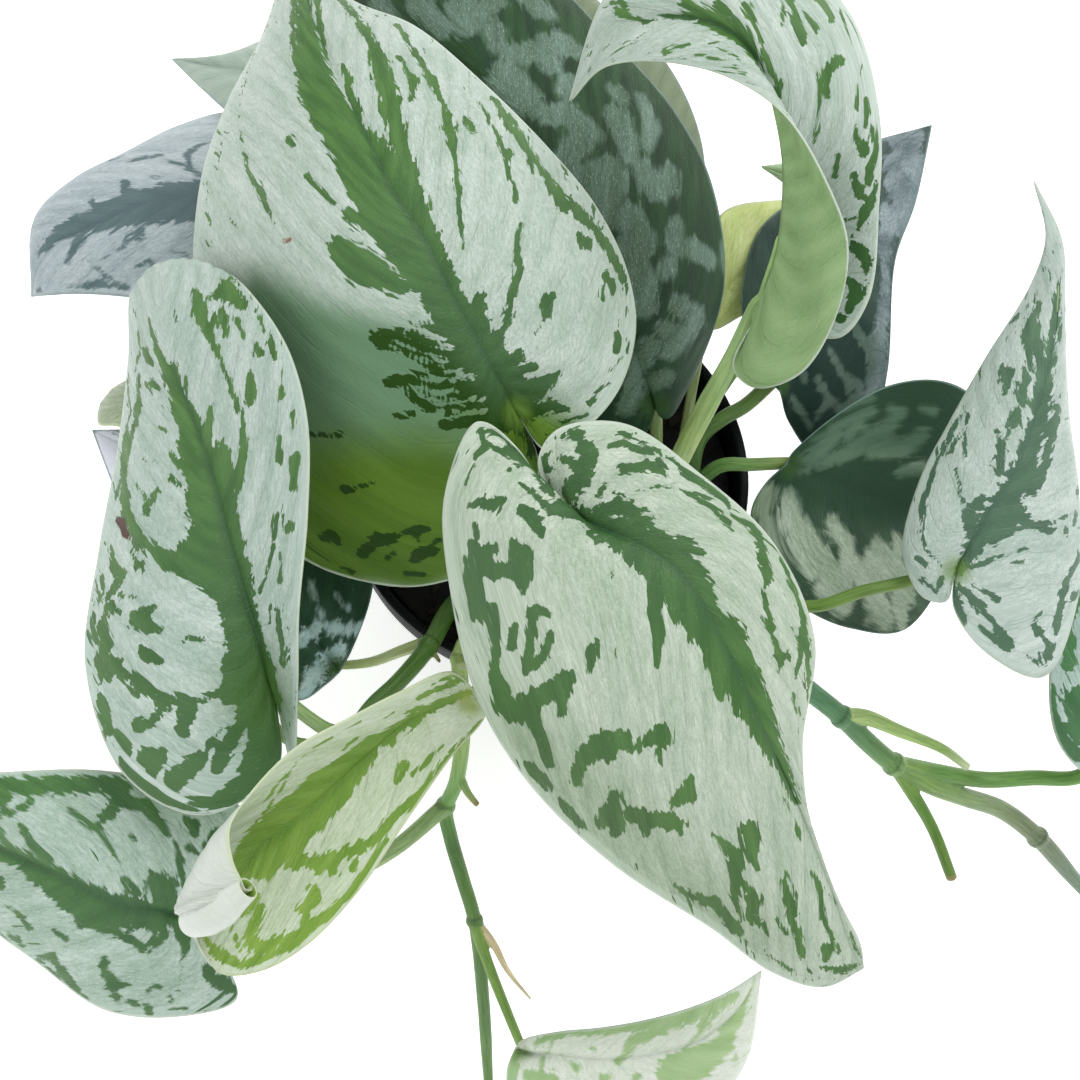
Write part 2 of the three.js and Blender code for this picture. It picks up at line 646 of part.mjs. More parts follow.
// A round tube along a smooth route, closed by a low dome at its start and one of the given height at its end
function tubeGeometry(route, radii, domeHeight) {
  const sides = radii[0] > STEM.thinRadius ? STEM.sides : STEM.thinSides;
  const curve = new THREE.CatmullRomCurve3(route, false, 'centripetal');
  const steps = (route.length - 1) * 2;
  const frames = curve.computeFrenetFrames(steps);
  const points = [];
  const faces = [];
  const radiusAt = (share) => {
    const place = share * (radii.length - 1);
    const index = Math.min(Math.floor(place), radii.length - 2);
    return THREE.MathUtils.lerp(radii[index], radii[index + 1], place - index);
  };
  for (let step = 0; step <= steps; step++) {
    const centre = curve.getPointAt(step / steps);
    const radius = radiusAt(step / steps);
    for (let side = 0; side < sides; side++) {
      const angle = (side / sides) * 2 * Math.PI;
      const spoke = frames.normals[step].clone().multiplyScalar(Math.cos(angle));
      spoke.addScaledVector(frames.binormals[step], Math.sin(angle));
      points.push(centre.clone().addScaledVector(spoke, radius));
    }
  }
  for (let step = 0; step < steps; step++) {
    for (let side = 0; side < sides; side++) {
      const next = (side + 1) % sides;
      const a = step * sides + side;
      const b = step * sides + next;
      faces.push([a, b, b + sides], [a, b + sides, a + sides]);
    }
  }
  const first = points.length;
  const last = first + 1;
  const end = steps * sides;
  points.push(curve.getPointAt(0).addScaledVector(frames.tangents[0], -radii[0] / 2));
  points.push(curve.getPointAt(1).addScaledVector(frames.tangents[steps], domeHeight));
  for (let side = 0; side < sides; side++) {
    const next = (side + 1) % sides;
    faces.push([first, next, side], [last, end + side, end + next]);
  }
  const geometry = new THREE.BufferGeometry().setFromPoints(points);
  geometry.setIndex(faces.flat());
  return geometry;
}

function stemGeometry(stem) {
  const pieces = stem.limbs.map((limb) => {
    const route = limb.route.map(vector);
    const endRadius = limb.radii[limb.radii.length - 1];
    if (limb.leaf) {
      const leaf = LEAVES.find((candidate) => candidate.name === limb.leaf);
      route.push(petioleSeat(leaf, endRadius));
    }
    return toSolid(tubeGeometry(route, limb.radii, limb.leaf ? endRadius : endRadius / 3));
  });
  for (const knot of stem.knots) {
    const ball = new THREE.SphereGeometry(knot.radius, STEM.sides, 5).rotateX(Math.PI / 2);
    pieces.push(toSolid(ball.translate(...knot.at)));
  }
  return toGeometry(pieces.reduce((joined, piece) => joined.add(piece)));
}

// The pot: a tapered wall, a straight band up to its lip, and a floor with drain holes round its solid middle
function potSolid() {
  const bandFoot = POT.height - POT.bandHeight;
  const wallTop = POT.rimRadius - POT.bandStep;
  const inner = POT.rimRadius - POT.lipWidth;
  const profile = [
    [0, 0],
    [POT.footRadius - 3, 0],
    [POT.footRadius, 1],
    [wallTop - 1, bandFoot - 1.5],
    [POT.rimRadius, bandFoot],
    [POT.rimRadius, POT.height - 1],
    [POT.rimRadius - 0.9, POT.height],
    [inner + 0.6, POT.height],
    [inner, POT.height - 0.8],
    [inner - 0.6, bandFoot - 2],
    [POT.footRadius - POT.wall, POT.wall + 1],
    [POT.footRadius - 3, POT.wall],
    [0, POT.wall],
  ].map(([radius, height]) => new THREE.Vector2(radius, height));
  let pot = toSolid(new THREE.LatheGeometry(profile, POT.sides).rotateX(Math.PI / 2));
  for (let hole = 0; hole < DRAIN.count; hole++) {
    const angle = ((hole + 0.5) / DRAIN.count) * 2 * Math.PI;
    const cutter = new THREE.CylinderGeometry(DRAIN.radius, DRAIN.radius, 4 * POT.wall, DRAIN.sides);
    cutter.rotateX(Math.PI / 2);
    cutter.translate(DRAIN.circleRadius * Math.cos(angle), DRAIN.circleRadius * Math.sin(angle), 0);
    pot = pot.subtract(toSolid(cutter));
  }
  return pot;
}

// Potting mix: fills the pot to the foot of its band, with a lumpy top and a plain hole for each stem
function soilSolid() {
  const topRadius = POT.rimRadius - POT.lipWidth - 0.6 - 2 * GAP;
  const footRadius = POT.footRadius - POT.wall - 2 * GAP;
  const profile = [[0, POT.wall + GAP], [footRadius - 2, POT.wall + GAP], [footRadius, POT.wall + 1.5]];
  for (let ring = SOIL.rings; ring > 0; ring--) {
    const share = ring / SOIL.rings;
    const rimRise = SOIL.hollow * share * share;
    profile.push([(topRadius - 0.4) * share, SOIL.top - SOIL.hollow + rimRise]);
  }
  profile.push([0, SOIL.top - SOIL.hollow]);
  const outline = profile.map(([radius, height]) => new THREE.Vector2(radius, height));
  const geometry = new THREE.LatheGeometry(outline, POT.sides / 2).rotateX(Math.PI / 2);
  const position = geometry.attributes.position;
  for (let index = 0; index < position.count; index++) {
    const x = position.getX(index);
    const y = position.getY(index);
    const z = position.getZ(index);
    if (z < SOIL.top / 2 || Math.hypot(x, y) > topRadius - 1) continue;
    const lump = Math.sin(x * 0.31 + 1) * Math.cos(y * 0.37) + 0.6 * Math.sin(x * 0.83 - y * 0.71);
    position.setZ(index, z + SOIL.lump * lump);
  }
  let soil = toSolid(geometry);
  for (const stem of STEMS) {
    const { route, radii } = stem.limbs[0];
    const [x, y, depth] = route[0];
    const radius = radii[0] + HOLE_SLACK;
    const height = SOIL.top + 10 - depth;
    const hole = new THREE.CylinderGeometry(radius, radius, height, STEM.holeSides).rotateX(Math.PI / 2);
    hole.translate(x, y, depth - radii[0] / 2 - HOLE_SLACK + height / 2);
    soil = soil.subtract(toSolid(hole));
  }
  return soil;
}

function piece(name, geometry, finish) {
  const material = new THREE.MeshStandardMaterial({ ...COLOURS[finish], metalness: 0 });
  const mesh = new THREE.Mesh(geometry, material);
  mesh.name = name;
  return mesh;
}

const plant = new THREE.Group();
plant.add(piece('pot', toGeometry(potSolid()), 'pot'));
plant.add(piece('soil', toGeometry(soilSolid()), 'soil'));
for (const stem of STEMS) plant.add(piece(stem.name, stemGeometry(stem), 'stem'));
for (const leaf of LEAVES) plant.add(piece(leaf.name, bladeGeometry(leaf), leaf.finish));

export default plant;
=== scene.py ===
import math
import random

import bpy
import numpy as np
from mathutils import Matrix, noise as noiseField


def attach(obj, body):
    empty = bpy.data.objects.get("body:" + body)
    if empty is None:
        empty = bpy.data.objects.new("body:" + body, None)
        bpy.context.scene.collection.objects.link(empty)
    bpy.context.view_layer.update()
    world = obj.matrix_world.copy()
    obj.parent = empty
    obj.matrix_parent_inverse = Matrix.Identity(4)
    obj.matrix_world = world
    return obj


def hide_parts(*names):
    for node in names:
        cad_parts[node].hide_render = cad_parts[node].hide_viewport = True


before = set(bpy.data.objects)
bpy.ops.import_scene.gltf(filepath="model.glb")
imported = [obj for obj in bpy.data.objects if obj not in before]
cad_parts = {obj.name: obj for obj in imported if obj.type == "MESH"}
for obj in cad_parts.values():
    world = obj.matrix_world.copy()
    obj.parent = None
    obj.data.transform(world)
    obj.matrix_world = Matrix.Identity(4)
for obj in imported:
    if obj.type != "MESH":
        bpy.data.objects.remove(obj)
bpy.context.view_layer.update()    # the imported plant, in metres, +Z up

mm = 0.001
weldReach = 0.00001     # m


def dropSelection():
    if bpy.context.mode != "OBJECT":
        bpy.ops.object.mode_set(mode="OBJECT")
    bpy.ops.object.select_all(action="DESELECT")


def pickOnly(piece):
    dropSelection()
    piece.select_set(True)
    bpy.context.view_layer.objects.active = piece


def applyPlace(piece):
    pickOnly(piece)
    bpy.ops.object.transform_apply(location=True, rotation=True, scale=True)


def applyModifier(piece, kind, **settings):
    pickOnly(piece)
    modifier = piece.modifiers.new(kind.title(), kind)
    for key, value in settings.items():
        setattr(modifier, key, value)
    bpy.ops.object.modifier_apply(modifier=modifier.name)


def joinPieces(pieces, name):
    dropSelection()
    for piece in pieces:
        piece.select_set(True)
    bpy.context.view_layer.objects.active = pieces[0]
    if len(pieces) > 1:
        bpy.ops.object.join()
    pieces[0].name = name
    pieces[0].data.name = name
    return pieces[0]


# The place of each point of a mesh, or with "normal" the way it faces
def meshPoints(piece, key="co"):
    values = np.empty(len(piece.data.vertices) * 3)
    piece.data.vertices.foreach_get(key, values)
    return values.reshape(-1, 3)


def movePoints(piece, places):
    piece.data.vertices.foreach_set("co", np.ascontiguousarray(places, dtype=float).ravel())
    piece.data.update()


def paintPoints(piece, name, values):
    layer = piece.data.attributes.get(name) or piece.data.attributes.new(name, "FLOAT", "POINT")
    layer.data.foreach_set("value", np.ascontiguousarray(values, dtype=np.float32))


def ramp(low, high, values):
    share = np.clip((values - low) / (high - low), 0, 1)
    return share * share * (3 - 2 * share)


def unit(ways):
    return ways / np.linalg.norm(ways, axis=-1, keepdims=True)


def addGrid(columns, rows):
    dropSelection()
    bpy.ops.mesh.primitive_grid_add(x_subdivisions=columns, y_subdivisions=rows, size=1)
    return bpy.context.object


# A sheet to roll up: each of its points has the values of its ring, and its turn round the roll
def addSleeve(sides, rings):
    sheet = addGrid(sides, len(rings) - 1)
    flat = meshPoints(sheet)
    ring = np.array(rings)[np.rint((flat[:, 1] + 0.5) * (len(rings) - 1)).astype(int)]
    return sheet, ring, (flat[:, 0] + 0.5) * 2 * math.pi


def weldMesh(piece, closed=True):
    pickOnly(piece)
    bpy.ops.object.mode_set(mode="EDIT")
    bpy.ops.mesh.select_all(action="SELECT")
    bpy.ops.mesh.remove_doubles(threshold=weldReach)
    if closed:
        bpy.ops.mesh.normals_make_consistent(inside=False)
    bpy.ops.object.mode_set(mode="OBJECT")


def smoothShade(piece):
    pickOnly(piece)
    bpy.ops.object.shade_smooth()


# Settles a finished piece in the model: its material, its body, and hides the CAD nodes it stands for
def settle(piece, material, nodes):
    piece.data.materials.clear()
    piece.data.materials.append(material)
    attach(piece, "root")
    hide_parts(*nodes)
    print(piece.name, len(piece.data.polygons), "faces")


studio = {
    "cameraPlace": (-1.55, -153.3, 506.1),    # mm
    "cameraTilt": 18,                         # degrees up from straight down
    "cameraNear": 0.01,                       # m
    "lens": 57.33,
    "sensor": 36,
    "floorSize": 4,
    "floorColor": (0.93, 0.93, 0.93, 1),
    "floorRough": 0.8,
    "floorGlow": 0.5,
    "sky": 0.85,
    "gain": 1.28,                             # light on a level surface, next to paper white
    "key": {"place": (0.55, 0.55, 1.3), "size": 1.0, "power": 11},
    "fill": {"place": (-0.9, -0.7, 0.9), "size": 1.5, "power": 4.5},
}


# The colour a surface needs to look like this code under the studio lamps
def hue(code):
    parts = [int(code[start:start + 2], 16) / 255 for start in (1, 3, 5)]
    linear = [part / 12.92 if part <= 0.04045 else ((part + 0.055) / 1.055) ** 2.4 for part in parts]
    return [value / studio["gain"] for value in linear] + [1.0]


def hues(codes):
    return [hue(code) for code in codes]


def addCamera():
    place = [value * mm for value in studio["cameraPlace"]]
    bpy.ops.object.camera_add(location=place, rotation=(math.radians(studio["cameraTilt"]), 0, 0))
    camera = bpy.context.object
    camera.name = "camera"
    camera.data.lens = studio["lens"]
    camera.data.sensor_width = studio["sensor"]
    camera.data.clip_start = studio["cameraNear"]
    bpy.context.scene.camera = camera


def addLamp(name, place, size, power):
    bpy.ops.object.light_add(type="AREA", location=place)
    lamp = bpy.context.object
    lamp.name = name
    lamp.data.shape = "DISK"
    lamp.data.size = size
    lamp.data.energy = power
    lamp.rotation_euler = (-lamp.location).to_track_quat("-Z", "Y").to_euler()


def addSky():
    world = bpy.data.worlds.new("sky")
    bpy.context.scene.world = world
    world.use_nodes = True
    background = world.node_tree.nodes["Background"]
    background.inputs["Color"].default_value = (1, 1, 1, 1)
    background.inputs["Strength"].default_value = studio["sky"]
    bpy.context.scene.view_settings.view_transform = "Standard"


def newMaterial(name):
    material = bpy.data.materials.new(name)
    material.use_nodes = True
    return material, material.node_tree, material.node_tree.nodes["Principled BSDF"]


def addFloor():
    bpy.ops.mesh.primitive_plane_add(size=studio["floorSize"])
    floor = bpy.context.object
    floor.name = "floor"
    paint, tree, surface = newMaterial("paleFloor")
    surface.inputs["Base Color"].default_value = studio["floorColor"]
    surface.inputs["Roughness"].default_value = studio["floorRough"]
    surface.inputs["Emission Color"].default_value = (1, 1, 1, 1)
    surface.inputs["Emission Strength"].default_value = studio["floorGlow"]
    floor.data.materials.append(paint)


dropSelection()
addCamera()
for lampName in ("key", "fill"):
    addLamp(lampName, **studio[lampName])
addSky()
addFloor()
print("studio ready")


def addNode(tree, kind, inputs, **settings):
    node = tree.nodes.new(kind)
    for key, value in settings.items():
        setattr(node, key, value)
    for key, value in inputs.items():
        if isinstance(value, bpy.types.NodeSocket):
            tree.links.new(value, node.inputs[key])
        else:
            node.inputs[key].default_value = value
    return node


def calc(tree, operation, *values):
    return addNode(tree, "ShaderNodeMath", dict(enumerate(values)), operation=operation).outputs[0]


def plus(tree, *values):
    return calc(tree, "ADD", *values)


def minus(tree, *values):
    return calc(tree, "SUBTRACT", *values)


def times(tree, *values):
    return calc(tree, "MULTIPLY", *values)


# How far a noise is from its middle, up to a size
def swing(tree, value, size):
    return times(tree, minus(tree, value, 0.5), size)


def window(tree, value, low, high, toLow=0.0, toHigh=1.0):
    inputs = {"Value": value, "From Min": low, "From Max": high, "To Min": toLow, "To Max": toHigh}
    return addNode(tree, "ShaderNodeMapRange", inputs, interpolation_type="SMOOTHSTEP").outputs[0]


def mixColor(tree, share, first, second, way="MIX"):
    inputs = {0: share, 6: first, 7: second}
    return addNode(tree, "ShaderNodeMix", inputs, data_type="RGBA", blend_type=way).outputs[2]


# Lays a colour over another where a mask is, as strong as a share
def tint(tree, color, mask, share, other, way="MIX"):
    return mixColor(tree, times(tree, mask, share), color, other, way)


# Lays a colour over another as a value goes from low to high, up to a share
def fade(tree, color, value, reach, other, way="MIX"):
    low, high, share = reach
    return mixColor(tree, window(tree, value, low, high, 0, share), color, other, way)


def readPoints(tree, name, output="Fac"):
    return addNode(tree, "ShaderNodeAttribute", {}, attribute_name=name).outputs[output]


def objectSpace(tree):
    return addNode(tree, "ShaderNodeTexCoord", {}).outputs["Object"]


def noise(tree, vector, scale, detail=2.0, rough=0.5):
    inputs = {"Vector": vector, "Scale": scale, "Detail": detail, "Roughness": rough}
    return addNode(tree, "ShaderNodeTexNoise", inputs).outputs["Fac"]


def stretched(tree, vector, scale, shift=(0, 0, 0)):
    inputs = {"Vector": vector, "Scale": scale, "Location": shift}
    return addNode(tree, "ShaderNodeMapping", inputs).outputs[0]


def cellsOf(tree, vector, scale, output="Distance", **settings):
    inputs = {"Vector": vector, "Scale": scale}
    return addNode(tree, "ShaderNodeTexVoronoi", inputs, **settings).outputs[output]


def bumped(tree, height, distance, strength=1.0):
    inputs = {"Height": height, "Distance": distance, "Strength": strength}
    return addNode(tree, "ShaderNodeBump", inputs).outputs[0]


# Each finish: the two ends of the green and of the silver, the deep tone by the midrib, the margin and the
# underside; the shaded colours (silver, silver, green), the silver in full shade (dusk) and the tone round
# the sinus (base); the level of chance flecks (1 leaves none), how soft the edge of the green is (mm), the
# roughness, the gloss, the streaks in each cm across and along, and how strong the satin is
finishes = {
    "silver": {
        "green": ("#3e6d27", "#56853a"), "deep": "#2f5a34", "silver": ("#e5f0e9", "#c9dccf"),
        "shade": ("#668a2c", "#53771f", "#234705"), "dusk": "#6d916f", "base": "#6a8f38", "margin": "#d6e3d3",
        "under": ("#9dc07f", "#b2d096"), "fleck": 0.7, "soft": 0.12, "rough": 0.42, "gloss": 0.4,
        "streak": (0.9, 6.5), "satin": 0.22,
    },
    # darker, mostly green leaves deep in the plant: their own dark green with painted shade
    "shaded": {
        "green": ("#17381c", "#2c5428"), "deep": "#1b3f2c", "silver": ("#83a192", "#68876f"),
        "shade": ("#3f5c4c", "#2c4739", "#183a20"), "dusk": "#56766a", "base": "#3f6230", "margin": "#7f9a92",
        "under": ("#74856a", "#8f9f7c"), "fleck": 1.0, "soft": 0.9, "rough": 0.5, "gloss": 0.25,
        "streak": (2.4, 3.4), "satin": 0.08,
    },
    "grey": {
        "green": ("#557070", "#6b8486"), "deep": "#55696e", "silver": ("#d6e1e4", "#bdccd1"),
        "shade": ("#a9b4b4", "#8f9c9c", "#50626a"), "dusk": "#a9b4b4", "base": "#6f8f6a", "margin": "#a6b6b8",
        "under": ("#a9bfae", "#bfd0c2"), "fleck": 1.0, "soft": 0.5, "rough": 0.45, "gloss": 0.35,
        "streak": (1.4, 5.0), "satin": 0.15,
    },
    "young": {
        "green": ("#739b31", "#8fae4b"), "deep": "#628f2c", "silver": ("#dde9d2", "#c5d7b4"),
        "shade": ("#9fb57f", "#86a05a", "#6d962e"), "dusk": "#9fb57f", "base": "#a3b84a", "margin": "#d3e0b4",
        "under": ("#f2f6f2", "#e4ede0"), "fleck": 0.74, "soft": 0.14, "rough": 0.4, "gloss": 0.4,
        "streak": (0.9, 6.5), "satin": 0.2,
    },
}
leafExtras = {"baseReach": 5.0, "scab": "#4a2818", "underVeins": 0.12}    # in every finish
pattern = {
    # size: in each cm, across and along, then detail and roughness where it is a noise
    "cells": (3.4, 5.6, 1),
    "streakGrain": (5.0, 0.6),
    "flecks": (0.9, 3.4, 3.0, 0.55),
    "veinGaps": (1.1, 1.6, 2.0, 0.5),
    "greenTone": (0.8, 2.2, 3.0, 0.5),
    "cloud": (0.5, 1.0, 4.0, 0.6),
    "satin": (2.2, 8.0, 3.0, 0.6),
    "mottle": (6.5, 8.5, 2.0, 0.6),
    "grain": (34.0, 3.0, 0.7),
    "sparkle": (19.0, 2.0, 0.7),
    "underTone": (0.9, 4.0),
    "pricks": 9.0,
    "sideVeins": 1.5,
    # edge of the green, in mm
    "step": 1.3,                   # that a vein cell moves it
    "ragged": 4.0,                 # that streaks move it
    "fleckDepth": 22.0,
    "fleckMargin": (2.0, 14.0),    # flecks get fewer from here to here
    "fleckSpread": (-0.07, 0.06),
    # masks: where a value starts and ends
    "wall": (0.07, 0.0),
    "bend": 0.1,                   # cm that streaks move the side veins
    "veinWidth": (0.05, 0.0),
    "veinBreak": (0.42, 0.6),
    "quiltWidth": (0.5, 0.1),
    "toneRange": (0.32, 0.68),
    "shadeRange": (0.35, 0.65),
    "band": (3.4, 2.4),            # mm from the margin
    "bandWander": 0.8,
    "rim": (0.9, 0.35),
    "rimWander": 0.2,
    "scabWander": 1.6,
    "scabEdge": (0.2, -0.15, 1),
    # layers of the green, the silver, the whole and the underside: from, to and share, or share alone
    # the green darker toward the sinus is painted shade of the hollow at the leaf's base; darker beside the
    # midrib is the midrib's own darker green with painted shade of its groove
    "heartDeep": (75.0, 8.0, 0.6),
    "midribDeep": (0.32, 0.03, 0.55),
    "grainDeep": (0.4, 0.7, 0.3),
    "prickPale": (0.13, 0.03, 0.4),
    "veinPale": 0.05,
    "grainSilver": (0.3, 0.7, 0.3),
    "satinRange": (0.35, 0.8),
    "mottleSilver": (0.62, 0.38, 0.3),
    # painted glints: the near white sparkle specks on the silver
    "sparkleRange": (0.55, 0.75, 0.5),
    "sparkleColor": "#f4f9f4",
    "quiltSilver": 0.1,
    "netSilver": 0.1,
    "veinSilver": 0.17,
    # painted shade: the colour that the dim strokes multiply in, darkening a flank turned from the light
    "paintedDim": (0.7, 0.75, 0.66, 1),
    "baseFrom": 1.5,
    "baseShare": 0.75,
    "bandShare": 0.45,
    "rimShare": 0.8,
    "mottleUnder": (0.4, 0.7, 0.25),
    "netUnder": 0.05,
    "rimUnder": 0.6,
    # relief
    "veinDepth": -1.2,
    "netDepth": -0.5,
    "mottleHeight": 1.5,
    "relief": (0.00015, 0.7),      # m, and strength
    "shadeGloss": 0.3,             # share of the gloss that is left in shade
}


def leafMaterial(name, look, shaded):
    material, tree, surface = newMaterial(name)
    uv = addNode(tree, "ShaderNodeUVMap", {}, uv_map="veins").outputs[0]    # cm across and along
    parts = addNode(tree, "ShaderNodeSeparateXYZ", {"Vector": uv})
    across, along = parts.outputs[0], parts.outputs[1]
    keys = ("mark", "bold", "edge", "heart", "shade", "gloom", "under", "brown", "paintedDim")
    mark, bold, edge, heart, shade, gloom, under, brown, paintedDim = (readPoints(tree, key) for key in keys)
    green, silver, shades = hues(look["green"]), hues(look["silver"]), hues(look["shade"])
    deep, margin, undersides = hue(look["deep"]), hue(look["margin"]), hues(look["under"])

    def patches(wide, long, detail, rough):
        return noise(tree, stretched(tree, uv, (wide, long, 1), look["shift"]), 1.0, detail, rough)

    # small vein cells: their walls are the net, and each cell is green or silver as a whole
    cellSpace = stretched(tree, uv, pattern["cells"], look["shift"])
    cellColor = cellsOf(tree, cellSpace, 1.0, "Color")
    cellStep = addNode(tree, "ShaderNodeSeparateColor", {"Color": cellColor}).outputs[0]
    walls = cellsOf(tree, cellSpace, 1.0, feature="DISTANCE_TO_EDGE")
    net = window(tree, walls, *pattern["wall"])

    # where the green ends: given marks, ragged along the side veins, and chance flecks near the margin
    streaks = patches(*look["streak"], *pattern["streakGrain"])
    stepped = swing(tree, cellStep, pattern["step"])
    wander = plus(tree, swing(tree, streaks, pattern["ragged"]), stepped)
    fromMark = plus(tree, mark, times(tree, wander, bold))
    levels = [look["fleck"] + change for change in pattern["fleckSpread"]]
    fleckLevel = window(tree, edge, *pattern["fleckMargin"], *levels)
    flecks = minus(tree, fleckLevel, patches(*pattern["flecks"]))
    fleckDepth = times(tree, flecks, pattern["fleckDepth"])
    nearest = calc(tree, "MINIMUM", fromMark, plus(tree, fleckDepth, stepped))
    greenShare = window(tree, nearest, look["soft"], -look["soft"])

    # side veins
    bent = plus(tree, along, times(tree, streaks, pattern["bend"]))
    veinPlace = calc(tree, "FRACT", times(tree, bent, pattern["sideVeins"]))
    fromVein = calc(tree, "ABSOLUTE", minus(tree, veinPlace, 0.5))
    broken = window(tree, patches(*pattern["veinGaps"]), *pattern["veinBreak"])
    veinLine = times(tree, window(tree, fromVein, *pattern["veinWidth"]), broken)
    quilt = window(tree, fromVein, *pattern["quiltWidth"])

    # green: deep beside the midrib, with pale pin pricks
    grain = noise(tree, uv, *pattern["grain"])
    tone = window(tree, patches(*pattern["greenTone"]), *pattern["toneRange"])
    greenColor = mixColor(tree, tone, *green)
    # darker toward the sinus: painted shade of the hollow at the leaf's base
    greenColor = fade(tree, greenColor, heart, pattern["heartDeep"], deep)
    # darker beside the midrib: the midrib's own darker green, with painted shade of its groove
    greenColor = fade(tree, greenColor, calc(tree, "ABSOLUTE", across), pattern["midribDeep"], deep)
    greenColor = fade(tree, greenColor, grain, pattern["grainDeep"], deep)
    greenColor = fade(tree, greenColor, cellsOf(tree, uv, pattern["pricks"]), pattern["prickPale"], silver[1])
    greenColor = tint(tree, greenColor, veinLine, pattern["veinPale"], silver[1])

    # silver: broad cloudiness, fine grain, painted glints of sparkle, the net and the side veins
    cloud = patches(*pattern["cloud"])
    satin = patches(*pattern["satin"])
    mottle = patches(*pattern["mottle"])
    satinReach = (*pattern["satinRange"], look["satin"])
    sparkle = noise(tree, uv, *pattern["sparkle"])
    silverColor = mixColor(tree, window(tree, cloud, *pattern["toneRange"]), *silver)
    silverColor = fade(tree, silverColor, grain, pattern["grainSilver"], green[1], "MULTIPLY")
    silverColor = fade(tree, silverColor, satin, satinReach, silver[1], "MULTIPLY")
    silverColor = fade(tree, silverColor, mottle, pattern["mottleSilver"], silver[1], "MULTIPLY")
    # painted glints: specks of the silver faded toward near white
    silverColor = fade(tree, silverColor, sparkle, pattern["sparkleRange"], hue(pattern["sparkleColor"]))
    silverColor = tint(tree, silverColor, quilt, pattern["quiltSilver"], silver[1], "MULTIPLY")
    silverColor = tint(tree, silverColor, net, pattern["netSilver"], green[1])
    silverColor = tint(tree, silverColor, veinLine, pattern["veinSilver"], green[1])

    # upper side: both, with painted shade laid over where the shade strokes lie (dusk at their edge, the
    # shade colours where gloom is), the pale margin and the brown scars
    shadeSilver = mixColor(tree, window(tree, cloud, *pattern["shadeRange"]), *shades[:2])
    shadeSilver = mixColor(tree, gloom, hue(look["dusk"]), shadeSilver)
    upper = mixColor(tree, greenShare, silverColor, greenColor)
    upper = mixColor(tree, shade, upper, mixColor(tree, greenShare, shadeSilver, shades[2]))
    # painted shade: darker where the dim strokes lie
    upper = mixColor(tree, paintedDim, upper, pattern["paintedDim"], "MULTIPLY")
    baseReach = (look["baseReach"], pattern["baseFrom"], pattern["baseShare"])
    upper = fade(tree, upper, heart, baseReach, hue(look["base"]))
    band = window(tree, plus(tree, edge, times(tree, cellStep, pattern["bandWander"])), *pattern["band"])
    plain = times(tree, minus(tree, 1.0, shade), minus(tree, 1.0, greenShare))
    upper = tint(tree, upper, times(tree, band, pattern["bandShare"]), plain, silver[1])
    rim = window(tree, plus(tree, edge, times(tree, cellStep, pattern["rimWander"])), *pattern["rim"])
    upper = tint(tree, upper, rim, pattern["rimShare"], margin)
    scab = plus(tree, brown, swing(tree, grain, pattern["scabWander"]))
    upper = fade(tree, upper, scab, pattern["scabEdge"], hue(look["scab"]))

    # underside: paler, with darker veins
    below = mixColor(tree, noise(tree, uv, *pattern["underTone"]), *undersides)
    below = tint(tree, below, quilt, look["underVeins"], green[0])
    below = tint(tree, below, veinLine, look["underVeins"], green[0])
    below = fade(tree, below, mottle, pattern["mottleUnder"], undersides[1])
    below = tint(tree, below, net, pattern["netUnder"], green[0])
    below = tint(tree, below, rim, pattern["rimUnder"], margin)
    tree.links.new(mixColor(tree, under, upper, below), surface.inputs["Base Color"])

    # relief: veins and net sunk in, grain and mottling raised
    lines = plus(tree, times(tree, veinLine, pattern["veinDepth"]), times(tree, net, pattern["netDepth"]))
    lumps = plus(tree, grain, times(tree, mottle, pattern["mottleHeight"]))
    relief = bumped(tree, plus(tree, lumps, lines), *pattern["relief"])
    tree.links.new(relief, surface.inputs["Normal"])
    surface.inputs["Roughness"].default_value = look["rough"]
    surface.inputs["Specular IOR Level"].default_value = look["gloss"]
    if shaded:
        dull = look["gloss"] * pattern["shadeGloss"]
        gloss = window(tree, shade, 0.0, 1.0, look["gloss"], dull)
        tree.links.new(gloss, surface.inputs["Specular IOR Level"])
    return material


bladeShape = {
    "rowsPerRib": 12,
    "columnsPerHalf": 22,
    "thick": 1.0,                # mm at the midrib
    "thinEdge": 0.45,            # share of that at the margin
    "thinReach": 8,              # mm from the margin
    "groove": 0.55,              # mm deep, down the midrib
    "grooveWidth": 1.6,          # mm
    "grooveStart": (0, 0.08),    # along the blade
    "grooveEnd": (1, 0.7),
    "quilt": 0.12,               # mm between the side veins
    "quiltStart": (1.5, 5),      # mm from the midrib
    "quiltEnd": (0, 4),          # mm from the margin
    "veinGap": 6.67,             # mm
    "sweep": 1.6,                # mm that the side veins lean to the tip for each mm away from the midrib
    "probes": 101,               # places along a blade where it is measured
    "tipReach": 0.6,             # the share of the way to the tip that counts as way to the margin
    "farMark": 30.0,             # mm, where no stroke is near
    # painted shade: how it fades in, in mm from the shade, gloom and dim strokes
    "shadeFade": (12, 1),        # mm from a stroke of shade
    "gloomFade": (18, 0),
    "paintedDimFade": (14, -4),
    "heart": 0.3,                # where the petiole comes in, in steps between ribs
    "boldWidths": (0.4, 2.0),    # half widths in mm of fine strokes and of bold, more ragged ones
}


